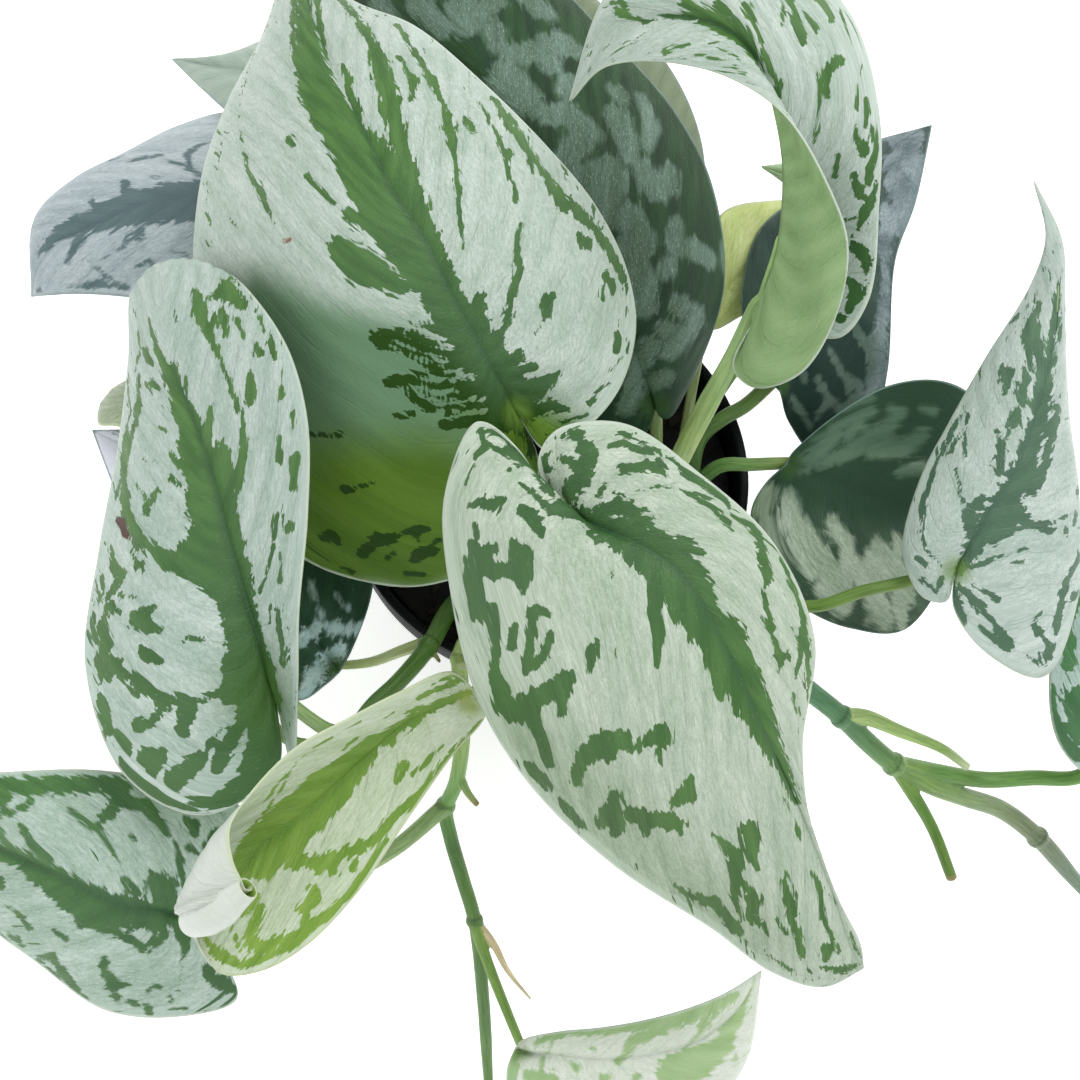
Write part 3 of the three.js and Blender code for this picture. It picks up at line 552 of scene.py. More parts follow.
# A centripetal Catmull-Rom curve through the points, at shares of its point count
def smoothRail(points, shares):
    points = np.asarray(points, dtype=float)
    last = len(points) - 1
    padded = np.vstack([2 * points[0] - points[1], points, 2 * points[-1] - points[-2]])
    place = np.clip(np.asarray(shares, dtype=float), 0, 1) * last
    cell = np.minimum(place.astype(int), last - 1)
    t = (place - cell)[:, None]
    a, b, c, d = (padded[cell + step] for step in range(4))
    g0, g1, g2 = [(((end - start) ** 2).sum(1) ** 0.25)[:, None] for start, end in ((a, b), (b, c), (c, d))]
    g1 = np.where(g1 < 1e-4, 1.0, g1)
    g0 = np.where(g0 < 1e-4, g1, g0)
    g2 = np.where(g2 < 1e-4, g1, g2)
    leave = ((b - a) / g0 - (c - a) / (g0 + g1) + (c - b) / g1) * g1
    arrive = ((c - b) / g1 - (d - b) / (g1 + g2) + (d - c) / g2) * g1
    bend = 3 * (c - b) - 2 * leave - arrive
    return b + leave * t + bend * t ** 2 + (2 * (b - c) + leave + arrive) * t ** 3


# Every rib as five points: left edge, left middle, midrib, right middle, right edge
def fullRibs(leaf):
    ribs = [np.array(rib, dtype=float) for rib in leaf["ribs"]]
    middles = [rib[len(rib) // 2] for rib in ribs]
    full = []
    for index, rib in enumerate(ribs):
        if len(rib) == 3:
            left, middle, right = rib
            rise = np.cross(right - left, middles[index + 1] - middles[index - 1])
            rise *= leaf["arch"] / np.linalg.norm(rise)
            rib = np.array([left, (left + middle) / 2 + rise, middle, (right + middle) / 2 + rise, right])
        full.append(np.repeat(rib, 5, axis=0) if len(rib) == 1 else rib)
    return np.array(full)


# Points of a blade's middle surface, at each along (0 sinus, 1 tip) and across (-1 left edge, 1 right edge)
def bladePoints(leaf, along, across):
    ribs = fullRibs(leaf)
    rails = [smoothRail(ribs[:, rail], along) for rail in range(5)]
    s = np.abs(across)[:, None]
    leftSide = (np.asarray(across) < 0)[:, None]
    middle = np.where(leftSide, rails[1], rails[3])
    edge = np.where(leftSide, rails[0], rails[4])
    return rails[2] * (1 - s) * (1 - 2 * s) + middle * 4 * s * (1 - s) + edge * s * (2 * s - 1)


# Distance in mm from each point to the nearest stroke of a kind, less than zero inside one, and half that
# stroke's width. A stroke is a row of spots: per mille along the blade, percent across it, and the stroke's
# width in tenths of a mm
def strokeDistance(leaf, kind, points):
    nearest = np.full(len(points), bladeShape["farMark"])
    reach = np.ones(len(points))
    for stroke in leaf.get(kind, []):
        spots = np.array(stroke, dtype=float).reshape(-1, 3)
        places = bladePoints(leaf, spots[:, 0] / 1000, spots[:, 1] / 100)
        radii = spots[:, 2] / 20
        for start in range(max(len(spots) - 1, 1)):
            end = min(start + 1, len(spots) - 1)
            step = places[end] - places[start]
            share = np.clip(((points - places[start]) @ step) / max(step @ step, 1e-9), 0, 1)
            spot = places[start] + share[:, None] * step
            radius = radii[start] + share * (radii[end] - radii[start])
            away = np.linalg.norm(points - spot, axis=1) - radius
            closer = away < nearest
            nearest[closer] = away[closer]
            reach[closer] = radius[closer]
    return nearest, reach


# Lengths of the midrib and of the rows to each side, in mm
def measureBlade(leaf):
    count = bladeShape["probes"]
    steps = np.linspace(0, 1, count)
    midrib = bladePoints(leaf, steps, np.zeros(count))
    length = np.linalg.norm(np.diff(midrib, axis=0), axis=1).sum()
    halves = []
    for side in (-1, 1):
        runs = [bladePoints(leaf, steps, np.full(count, side * part)) for part in np.linspace(0, 1, 9)]
        halves.append(sum(np.linalg.norm(runs[k + 1] - runs[k], axis=1) for k in range(8)))
    return length, steps, halves


# Paints the marks and the other values that the leaf material reads
def paintBlade(blade, leaf, places, edge):
    mark, reach = strokeDistance(leaf, "marks", places)
    mark = mark - leaf.get("spread", 0)
    if leaf["finish"] == "shaded":
        mark = -mark    # on these the strokes are silver
    sinus = bladePoints(leaf, [bladeShape["heart"] / (len(leaf["ribs"]) - 1)], [0])
    kinds = ("bare", "shade", "gloom", "brown", "paintedDim")
    away = {kind: strokeDistance(leaf, kind, places)[0] for kind in kinds}
    if "gloom" not in leaf:
        away["gloom"] = away["shade"]
    paintPoints(blade, "mark", np.maximum(mark, -away["bare"]))
    paintPoints(blade, "bold", 0.5 + 0.5 * ramp(*bladeShape["boldWidths"], reach))
    paintPoints(blade, "edge", edge)
    paintPoints(blade, "heart", np.linalg.norm(places - sinus, axis=1))
    paintPoints(blade, "brown", away["brown"])
    # painted shade: the shade, gloom and dim strokes, each faded out from its strokes
    for kind in ("shade", "gloom", "paintedDim"):
        paintPoints(blade, kind, ramp(*bladeShape[kind + "Fade"], away[kind]))


# Gives a blade its thickness, less at the margin, and paints which side is which
def thickenBlade(blade, leaf):
    shape = bladeShape
    middle, facing = meshPoints(blade), meshPoints(blade, "normal")
    count = len(middle)
    edge = np.empty(count, dtype=np.float32)
    blade.data.attributes["edge"].data.foreach_get("value", edge)
    group = blade.vertex_groups.new(name="thick")
    weights = shape["thinEdge"] + (1 - shape["thinEdge"]) * ramp(0, shape["thinReach"], edge)
    for index, weight in enumerate(weights):
        group.add([index], float(weight), "REPLACE")
    thick = shape["thick"] * mm
    applyModifier(blade, "SOLIDIFY", thickness=thick, offset=0, vertex_group="thick", use_rim=True)
    blade.vertex_groups.clear()
    ends = meshPoints(blade)
    firstUnder = np.einsum("ij,ij->i", ends[:count] - middle, facing).mean() < 0
    if leaf.get("turned"):
        firstUnder = not firstUnder
    paintPoints(blade, "under", (np.arange(len(ends)) < count) == firstUnder)


def makeLeaf(name, leaf):
    shape = bladeShape
    rows = (len(leaf["ribs"]) - 1) * leaf.get("rows", shape["rowsPerRib"])
    blade = addGrid(2 * leaf.get("columns", shape["columnsPerHalf"]), rows)
    blade.name = name + "_blade"
    blade.data.name = blade.name
    flat = meshPoints(blade)
    across = np.clip(flat[:, 0] * 2, -1, 1)
    along = np.clip(flat[:, 1] + 0.5, 0, 1)
    places = bladePoints(leaf, along, across)
    length, steps, halves = measureBlade(leaf)
    left, right = (np.interp(along, steps, half) for half in halves)
    halfWidth = np.where(across < 0, left, right)
    middleWidth = max(half.max() for half in halves)
    fromMidrib = np.abs(across) * halfWidth
    edge = np.minimum((1 - np.abs(across)) * halfWidth, (1 - along) * length * shape["tipReach"])

    # the vein pattern's coordinates, in cm
    uvLayer = blade.data.uv_layers[0]
    uvLayer.name = "veins"
    corners = np.empty(len(blade.data.loops), dtype=np.int32)
    blade.data.loops.foreach_get("vertex_index", corners)
    veinPlace = along * length - shape["sweep"] * (1 - np.exp(-2 * along)) * fromMidrib
    spread = np.stack([across * middleWidth / 10, veinPlace / 10], axis=1)
    uvLayer.data.foreach_set("uv", spread[corners].ravel())

    movePoints(blade, places * mm)
    groove = -shape["groove"] * np.exp(-(fromMidrib / shape["grooveWidth"]) ** 2)
    groove = groove * ramp(*shape["grooveStart"], along) * ramp(*shape["grooveEnd"], along)
    quilt = shape["quilt"] * np.cos(2 * math.pi * veinPlace / shape["veinGap"])
    quilt = quilt * ramp(*shape["quiltStart"], fromMidrib) * ramp(*shape["quiltEnd"], edge)
    movePoints(blade, (places + meshPoints(blade, "normal") * (groove + quilt)[:, None]) * mm)
    paintBlade(blade, leaf, places, edge)
    weldMesh(blade, closed=False)
    thickenBlade(blade, leaf)
    smoothShade(blade)
    look = {**leafExtras, **finishes[leaf["finish"]], **leaf.get("look", {})}
    look["shift"] = (leaf["seed"] * 7.3, leaf["seed"] * 3.1, 0)
    settle(blade, leafMaterial(name + "_skin", look, "shade" in leaf), [name])
    return blade


# The rolled-up tip of the young leaf: a tapering roll, closed at one end and open at the other
youngRoll = {
    "route": [(-76.7,-116.1,123), (-73.1,-115.7,127.5), (-69.5,-114.5,131), (-66.3,-112.6,134),
              (-63.6,-110.8,136)],
    "radii": [3.8, 4.2, 3.9, 3.1, 2.6],
    "wall": 0.5,
    "depth": 5,
    "sides": 40,
    "rings": 36,
}


def addRoll(blade, roll):
    shares = np.linspace(0, 1, roll["rings"])
    centres = smoothRail(roll["route"], shares)
    forward = unit(np.gradient(centres, axis=0))
    radii = np.interp(shares, np.linspace(0, 1, len(roll["radii"])), roll["radii"])
    last = roll["rings"] - 1
    # each ring: its place on the route, its reach past it, its radius, and how far in from the mouth it is
    rings = []
    for turn in np.linspace(0, math.pi / 2, 8):
        rings.append((0, -radii[0] * math.cos(turn), radii[0] * math.sin(turn), 9))
    rings += [(step, 0, radii[step], 9) for step in range(1, last)]
    rings += [(last, 0, radii[last], 0.3), (last, 0.2, radii[last] - roll["wall"] / 2, 0)]
    for inside in np.linspace(0, 1, 6):
        rings.append((last, -inside * roll["depth"], (radii[last] - roll["wall"]) * (1 - 0.3 * inside), -1))
    rings.append((last, -roll["depth"], 0, -1))
    tube, ring, turn = addSleeve(roll["sides"], rings)
    step = ring[:, 0].astype(int)
    aside = unit(np.cross(forward, (0, 0, 1.0)))
    upward = np.cross(aside, forward)
    spoke = np.cos(turn)[:, None] * aside[step] + np.sin(turn)[:, None] * upward[step]
    movePoints(tube, (centres[step] + forward[step] * ring[:, 1:2] + spoke * ring[:, 2:3]) * mm)
    inner = ring[:, 3] < 0
    values = {"mark": np.where(inner, -5, 5), "edge": np.where(inner, 9, ring[:, 3]), "heart": 99, "bold": 1,
              "shade": 0, "gloom": 0, "under": np.where(inner, 0, 1), "brown": 9, "paintedDim": 0}
    for key, value in values.items():
        paintPoints(tube, key, np.zeros(len(ring)) + value)
    tube.data.uv_layers[0].name = "veins"
    weldMesh(tube)
    smoothShade(tube)
    tube.data.materials.append(blade.data.materials[0])
    joinPieces([blade, tube], blade.name)


# Ribs are in mm, from the sinus to the tip, each from the left edge over the midrib to the right edge
leafCrownBack = {
    "finish": "silver",
    "seed": 1,
    "rows": 26,
    "columns": 68,
    "look": {"scab": "#8a5a4c"},
    "ribs": [
        [(-6,-9,150)],
        [(-2,-17,143), (-5,-13,148), (-8,-6,151), (-4,-10,151), (0,-17,150)],
        [(-7,-30,124), (-9,-18,141), (-10,-2,153), (0,-6,153), (8,-13,152)],
        [(-26,-36,112), (-19,-19,138), (-13,2,156), (3,1,157), (16,-3,152)],
        [(-41,-35,108), (-29,-14,139), (-17,9,159), (2,10,160), (20,12,152)],
        [(-61,-27,108), (-39,-5,145), (-22,17,163), (-2,21,164), (18,25,155)],
        [(-79,0,114), (-49,10,151), (-27,27,166), (-8,34,167), (11,39,159)],
        [(-86,30,123), (-56,31,158), (-34,37,169), (-18,47,169), (0,53,161)],
        [(-84,59,135), (-59,52,162), (-41,53,168), (-28,61,168), (-15,70,161)],
        [(-77,75,144), (-61,69,162), (-48,69,165), (-40,77,164), (-31,87,158)],
        [(-69,93,146), (-62,92,156), (-56,92,158), (-51,95,157), (-47,98,153)],
        [(-64,123,142)],
    ],
    "marks": [
        (188,-9,154, 315,-3,126, 395,-4,99, 475,-4,92, 552,-6,132, 630,-4,152, 685,-7,133, 740,-15,94,
         792,-21,88, 840,-22,76, 882,-17,49, 920,-11,36),
        (522,-18,40, 578,-28,86, 608,-34,53), (602,-16,40, 633,-25,33),
        (580,5,53, 635,11,46, 688,19,40, 740,28,47, 785,40,48, 822,52,28, 908,68,21), (745,0,27, 822,12,16),
        (842,-36,18, 920,-28,14), (840,-5,14, 915,21,17),
        (505,16,5, 588,30,16, 635,42,12, 675,51,34, 710,59,16, 755,68,21, 830,88,15), (662,62,20, 680,65,16),
        (732,43,16, 755,55,20, 788,61,14), (550,54,12, 630,71,17, 698,82,12), (620,73,20, 628,72,13),
        (590,75,11, 618,83,20, 672,89,31, 702,95,21), (540,80,40, 600,82,18, 678,93,21),
        (440,96,20, 482,93,26, 515,89,30, 545,83,36), (488,81,38, 500,79,20), (422,87,31, 440,86,23),
        (402,80,19, 422,82,13), (328,88,23, 348,87,16), (345,94,13, 325,97,9), (290,88,7, 318,93,8),
        (245,84,7, 273,91,8), (285,5,16, 348,18,22, 415,31,18, 455,39,18, 490,43,11, 520,51,13),
        (352,7,33, 415,12,29, 382,5,33), (375,45,21, 400,49,30), (332,35,5, 365,43,7),
        (728,-45,14, 738,-47,20), (652,-30,11, 690,-40,15), (662,-59,7, 695,-65,30, 715,-71,13, 768,-79,8),
        (785,-81,7, 835,-86,7, 890,-99,9, 918,-97,6), (672,-89,10, 692,-92,9, 725,-96,6),
        (740,-90,7, 778,-91,7), (675,-77,7, 685,-81,6), (380,-13,11, 462,-23,29, 508,-35,27),
        (382,-16,7, 470,-30,13, 495,-36,23), (390,-11,11, 448,-15,20, 478,-20,12),
        (315,-11,33, 382,-19,40, 412,-22,16), (315,-16,47, 432,-33,29, 458,-41,23), (330,-21,27, 395,-33,13),
        (375,-33,9, 425,-46,12), (278,-20,60, 320,-28,54, 338,-34,34), (132,16,87, 250,50,13),
        (102,38,40, 175,55,33, 192,75,9), (212,12,40, 288,22,22), (245,18,40, 258,31,13),
        (160,77,8, 208,92,8), (500,-72,8, 472,-64,18), (440,-75,18, 408,-67,6),
        (435,-91,26, 428,-88,29, 420,-89,14), (390,-89,33, 375,-83,35, 358,-79,17), (352,-87,28, 362,-88,14),
        (322,-88,28, 283,-82,8), (315,-73,18, 332,-77,17, 318,-80,14), (408,-98,10, 392,-97,10),
        (508,-34,11, 478,-28,16, 430,-21,20, 375,-15,22), (498,-35,11, 468,-30,16, 412,-23,18),
        (462,-41,11, 440,-35,16, 392,-29,20), (442,-38,9, 402,-34,16, 342,-27,20), (420,-38,9, 325,-27,22),
        (420,-45,9, 360,-31,13), (500,-73,9, 472,-64,9), (438,-75,14, 408,-66,7), (438,-91,24, 420,-90,21),
        (390,-90,29, 370,-83,21, 318,-73,14), (320,-86,21, 288,-78,14), (325,-94,21, 298,-94,17),
        (405,-98,14, 392,-98,14), (360,-89,21, 355,-87,21), (25,-100,31, 62,-100,36),
    ],
    "bare": [
        (475,-25,7, 388,-11,7), (480,-32,7, 385,-16,7), (448,-28,9, 305,-11,9), (390,-20,7, 320,-14,7),
        (412,-30,11, 352,-19,9), (435,-37,13, 395,-29,9), (400,-33,9, 332,-20,9), (415,-42,9, 290,-18,11),
        (380,-39,11, 262,-19,11), (278,-18,9, 255,-15,9),
    ],
    # painted shade: the lower-left half, which hangs down away from the light, and spots by the sinus
    "shade": [
        (608,-71,19, 570,-59,46, 520,-46,67, 455,-33,67, 365,-29,67, 265,-33,45),
        (608,-81,47, 575,-79,94, 525,-69,208, 448,-56,251, 345,-49,160),
        (510,-88,262, 448,-81,377, 355,-78,258), (102,-36,36, 95,-68,40, 110,-85,36), (48,75,11, 130,95,11),
    ],
    # painted shade: the deepest, olive part of that shade
    "gloom": [
        (503,-100,97, 458,-90,215, 398,-79,258, 312,-70,255), (415,-100,97, 335,-95,96, 268,-94,71),
        (102,-36,36, 95,-68,40, 110,-85,36), (48,75,18, 130,95,18),
    ],
    "brown": [(642,-56,9, 640,-53,11)],
}
makeLeaf("leaf_crown_back", leafCrownBack)

leafCrownFront = {
    "finish": "silver",
    "seed": 2,
    "rows": 26,
    "columns": 52,
    "look": {"silver": ("#e3eedf", "#c6d9c3"), "satin": 0.2},
    "ribs": [
        [(2,-34,160)],
        [(-2,-25,165), (1,-30,162), (4,-35,161), (-2,-29,164), (-7,-22,167)],
        [(2,-19,168), (5,-28,166), (7,-37,162), (-3,-28,166), (-15,-16,165)],
        [(16,-18,169), (15,-30,169), (12,-40,164), (-6,-38,165), (-22,-30,157)],
        [(32,-29,168), (26,-38,170), (19,-44,167), (-1,-49,161), (-21,-48,146)],
        [(48,-42,160), (39,-47,166), (28,-51,167), (6,-61,159), (-15,-70,136)],
        [(57,-60,150), (47,-63,158), (37,-65,162), (17,-78,152), (-3,-88,128)],
        [(55,-81,139), (51,-81,146), (46,-81,151), (30,-94,140), (15,-104,121)],
        [(58,-97,127), (57,-96,131), (55,-94,134), (46,-107,126), (37,-117,113)],
        [(65,-111,116), (64,-110,118), (63,-109,119), (56,-119,114), (51,-126,106)],
        [(71,-120,107), (70,-121,108), (69,-122,108), (66,-126,106), (63,-129,103)],
        [(72,-125,104)],
    ],
    "marks": [
        (222,23,47, 205,-3,53, 368,-1,87, 430,1,110, 472,3,110, 505,4,87, 538,1,92, 600,0,76),
        (288,-24,35, 240,-12,35), (340,-24,35, 283,-28,35), (405,-24,35, 428,-27,23), (532,-17,41, 512,-8,35),
        (448,12,29, 475,19,35, 495,22,29, 520,29,9), (542,8,40, 578,12,14), (285,11,9, 320,14,15),
        (398,21,6, 410,24,5), (168,-31,41, 212,-50,41, 222,-67,35, 212,-84,35, 202,-91,12),
        (165,-69,18, 200,-57,24), (208,-88,14, 185,-86,9), (120,-71,18, 115,-91,10, 150,-83,7),
        (252,-76,8, 273,-81,13, 298,-82,20, 315,-89,20), (268,-91,7, 308,-88,12),
        (278,-57,26, 308,-72,32, 325,-77,26, 332,-74,7), (240,-32,23, 250,-40,9),
        (302,-42,5, 338,-66,8, 352,-73,7, 395,-77,13, 412,-74,22, 422,-70,7),
        (332,-93,7, 352,-91,21, 390,-94,23, 402,-90,12),
        (410,-84,6, 428,-90,18, 440,-88,24, 480,-68,29, 492,-59,12), (495,-59,14, 510,-54,20, 530,-53,13),
        (517,-45,6, 545,-52,12, 558,-53,33, 558,-65,18), (560,-52,23, 570,-50,8),
        (470,-95,7, 488,-92,17, 503,-94,14, 525,-91,18, 542,-86,33, 575,-71,12),
        (548,-91,18, 570,-89,24, 598,-98,6), (595,-68,12, 605,-70,6), (192,92,18, 205,85,20, 220,87,12),
        (192,92,8, 155,91,12, 112,92,8), (198,86,7, 198,68,12), (182,71,30, 143,41,30, 202,32,18),
        (210,76,7, 212,64,8), (220,55,8, 238,30,20), (268,85,6, 250,87,7, 230,85,7),
        (273,82,13, 262,74,26, 262,67,35, 250,61,12), (255,49,20, 265,41,32, 290,38,20),
        (292,77,18, 305,77,20), (310,57,20, 325,53,26), (318,68,30, 335,83,54, 345,72,48, 350,59,35),
        (322,50,20, 355,57,35, 380,62,14), (352,86,48, 380,88,42, 392,91,12),
        (385,79,26, 405,80,30, 418,81,14), (412,71,24, 430,77,24), (405,61,33, 455,73,32, 460,77,7),
        (405,59,24, 418,55,18), (440,59,24, 455,65,26, 460,72,24), (472,45,17, 480,49,30, 492,54,12),
        (488,38,9, 492,40,5), (448,90,30, 460,87,45, 472,92,37), (488,86,48, 485,78,48, 485,60,29),
        (492,65,36, 508,72,12), (568,0,87, 628,-4,59, 655,0,41, 715,1,15), (545,6,40, 575,11,17),
        (452,88,49, 468,91,43, 485,91,24), (482,83,54, 517,84,36, 535,87,22), (482,76,42, 485,60,29),
        (492,67,30, 508,73,10), (528,95,21, 542,93,27, 552,93,25), (572,94,15, 580,93,21, 595,94,18),
        (562,83,24, 552,79,30, 548,70,44, 550,62,65, 555,56,47, 565,55,30), (560,65,30, 565,67,8),
        (568,51,24, 570,41,49, 580,41,26), (580,46,12, 592,49,7), (602,86,37, 598,78,55, 588,72,28),
        (615,87,21, 608,82,49), (610,74,46, 638,60,48, 648,62,14), (625,53,30, 628,46,48, 618,41,21),
        (633,75,9, 625,72,27), (668,50,8, 698,51,39, 718,70,25, 735,77,12),
        (688,33,39, 698,36,48, 708,43,30, 722,47,7), (718,59,12, 740,62,37, 748,73,31, 768,69,19, 785,71,9),
        (680,88,19, 695,88,25, 710,83,37, 750,88,31), (755,36,12, 778,40,31, 840,61,13),
        (778,56,9, 800,56,15), (752,30,9, 782,32,6), (780,11,6, 805,10,15, 832,19,10, 882,21,9),
        (865,30,35, 872,44,19), (800,84,9, 840,84,9), (860,72,8, 862,71,8), (875,55,8, 910,41,25, 948,21,15),
        (818,4,5, 838,0,6), (878,-47,6, 908,-38,9, 950,-68,6), (698,7,8, 748,9,5), (592,-66,9, 605,-71,6),
        (320,80,44, 352,85,49, 382,87,45, 400,82,38, 422,83,29, 440,87,27, 462,88,32, 482,87,34),
        (315,56,33, 352,61,37, 370,61,26), (528,95,27, 548,95,27), (568,94,27, 592,95,25),
    ],
    # painted shade: the lower-left flank, which faces away from the light, made darker
    "paintedDim": [(510,92,109, 595,85,174, 670,89,154, 752,87,89)],
}
makeLeaf("leaf_crown_front", leafCrownFront)

leafLeft = {
    "finish": "silver",
    "seed": 3,
    "rows": 22,
    "columns": 46,
    "look": {"baseReach": 20.0, "base": "#356400", "silver": ("#dfece6", "#c0d6ca")},
    "ribs": [
        [(-62,-67,118)],
        [(-62,-81,113), (-63,-74,116), (-64,-62,120), (-60,-69,120), (-58,-81,117)],
        [(-79,-91,109), (-72,-74,117), (-66,-53,123), (-60,-60,128), (-56,-66,128)],
        [(-99,-81,105), (-82,-64,120), (-69,-44,126), (-61,-48,133), (-55,-51,139)],
        [(-110,-55,106), (-90,-46,122), (-73,-31,130), (-62,-32,138), (-53,-30,146)],
        [(-108,-27,110), (-91,-25,126), (-77,-17,134), (-64,-14,144), (-53,-11,152)],
        [(-104,-4,116), (-92,-5,130), (-82,-3,138), (-69,1,149), (-57,4,156)],
        [(-101,17,124), (-95,15,134), (-88,12,142), (-75,15,150), (-65,17,156)],
        [(-101,34,126), (-96,36,132), (-91,35,138), (-82,32,145), (-73,26,151)],
        [(-97,38,112)],
    ],
    "marks": [
        (122,-21,51, 178,-6,59, 290,-2,76, 525,0,111, 590,0,77, 732,-10,34, 768,-12,26, 810,-31,12),
        (385,-8,93, 450,-22,51, 495,-37,39, 545,-68,17), (310,-14,51, 248,-22,68, 265,-35,51),
        (162,-26,76, 130,-53,85, 162,-82,60, 200,-91,43), (210,-38,34, 230,-63,37, 230,-71,17),
        (522,21,29, 578,37,20, 613,41,17, 715,41,18, 765,40,22, 802,39,46, 830,36,20), (625,8,42, 655,20,12),
        (582,18,42, 550,14,51), (812,50,20, 818,74,54, 782,83,28), (782,60,28, 742,54,17),
        (775,45,25, 760,39,17), (638,53,37, 660,60,23), (688,74,23, 702,76,13), (692,88,21, 668,86,12),
        (745,92,13, 718,88,10), (700,4,19, 718,8,12), (802,14,12, 812,14,9), (532,66,25, 558,70,8),
        (505,83,21, 525,87,13), (500,82,16, 485,79,10), (442,76,30, 442,71,25), (462,59,22, 438,55,17),
        (405,65,13, 375,62,22), (580,86,15, 575,85,13), (610,81,13, 623,83,8),
        (325,56,20, 275,61,18, 232,56,15), (335,43,8, 300,37,7), (425,54,12, 382,41,10, 355,27,12),
        (682,-88,36, 658,-90,27, 580,-76,44), (718,-65,26, 700,-77,18), (772,-44,30, 755,-31,17),
        (728,-39,26, 720,-29,14), (575,-58,26, 590,-48,21), (595,-34,17, 578,-27,12),
        (530,-85,21, 512,-75,30, 500,-85,21), (490,-83,30, 475,-74,17), (515,-62,21, 512,-63,17),
        (452,-51,26, 458,-65,38, 435,-57,38, 420,-50,17), (472,-88,44, 450,-83,44, 440,-92,35),
        (428,-85,56, 425,-77,26), (412,-63,34, 390,-56,14), (385,-40,14, 358,-29,7),
        (418,-79,35, 365,-65,29, 325,-54,29, 295,-44,20, 270,-34,25), (318,-56,46, 305,-64,34),
        (348,-66,29, 348,-75,38, 358,-81,38), (402,-95,56, 380,-95,38, 378,-100,26), (352,-90,38, 372,-92,21),
        (328,-86,46, 310,-79,38, 310,-89,26),
        (340,-98,52, 312,-99,52, 288,-98,43, 255,-96,34, 220,-93,34, 182,-96,26),
        (280,-85,46, 270,-76,46, 260,-68,26), (490,-95,23, 462,-92,18), (515,-100,11, 500,-96,12),
        (740,0,40, 690,-9,50, 650,-2,75, 608,-7,100, 560,0,120, 520,-3,140, 468,-4,100, 448,-10,164,
         390,-4,129, 332,-5,95, 245,-10,109, 210,-15,149, 158,-19,120),
        (675,43,8, 602,40,20, 530,26,25), (652,57,19, 628,52,24), (598,14,15, 570,19,20, 550,14,20),
        (745,-63,18, 705,-66,23, 682,-78,28, 660,-83,31, 630,-85,26, 565,-71,26, 538,-60,30, 498,-42,37,
         462,-28,40),
        (410,-62,30, 390,-55,7), (512,-60,25, 517,-63,15), (800,-61,10, 775,-55,12, 755,-71,11),
        (735,-90,15, 708,-82,15, 685,-89,15), (668,-91,16, 640,-84,16), (625,-90,15, 605,-90,14),
        (732,-50,10, 718,-42,9), (670,-41,10, 660,-31,7), (642,-65,7, 628,-47,7),
        (613,-69,9, 585,-56,12, 585,-48,10), (625,-29,19, 605,-24,19), (552,-89,17, 532,-83,22, 515,-73,15),
        (525,-93,15, 505,-89,20), (535,-70,9, 503,-59,10), (495,-75,12, 478,-63,12), (478,-86,22, 452,-82,22),
        (392,-76,15, 382,-74,15), (380,-94,16, 358,-90,18), (350,-96,18, 325,-95,16),
        (358,-67,19, 338,-64,14), (300,-93,15, 285,-94,11), (262,-74,13, 268,-66,10),
        (255,-69,10, 258,-59,12, 248,-51,10), (420,-92,17, 445,-92,17), (798,51,8, 762,50,7),
        (762,69,12, 722,68,9), (700,91,9, 665,87,8), (580,85,7, 560,84,7), (522,80,8, 482,84,8),
        (458,69,9, 435,76,14), (412,61,7, 382,65,7), (328,59,9, 288,61,9), (273,72,7, 230,63,9),
    ],
    "brown": [(582,-86,18, 572,-79,31, 562,-77,26, 552,-72,12)],
}
makeLeaf("leaf_left", leafLeft)

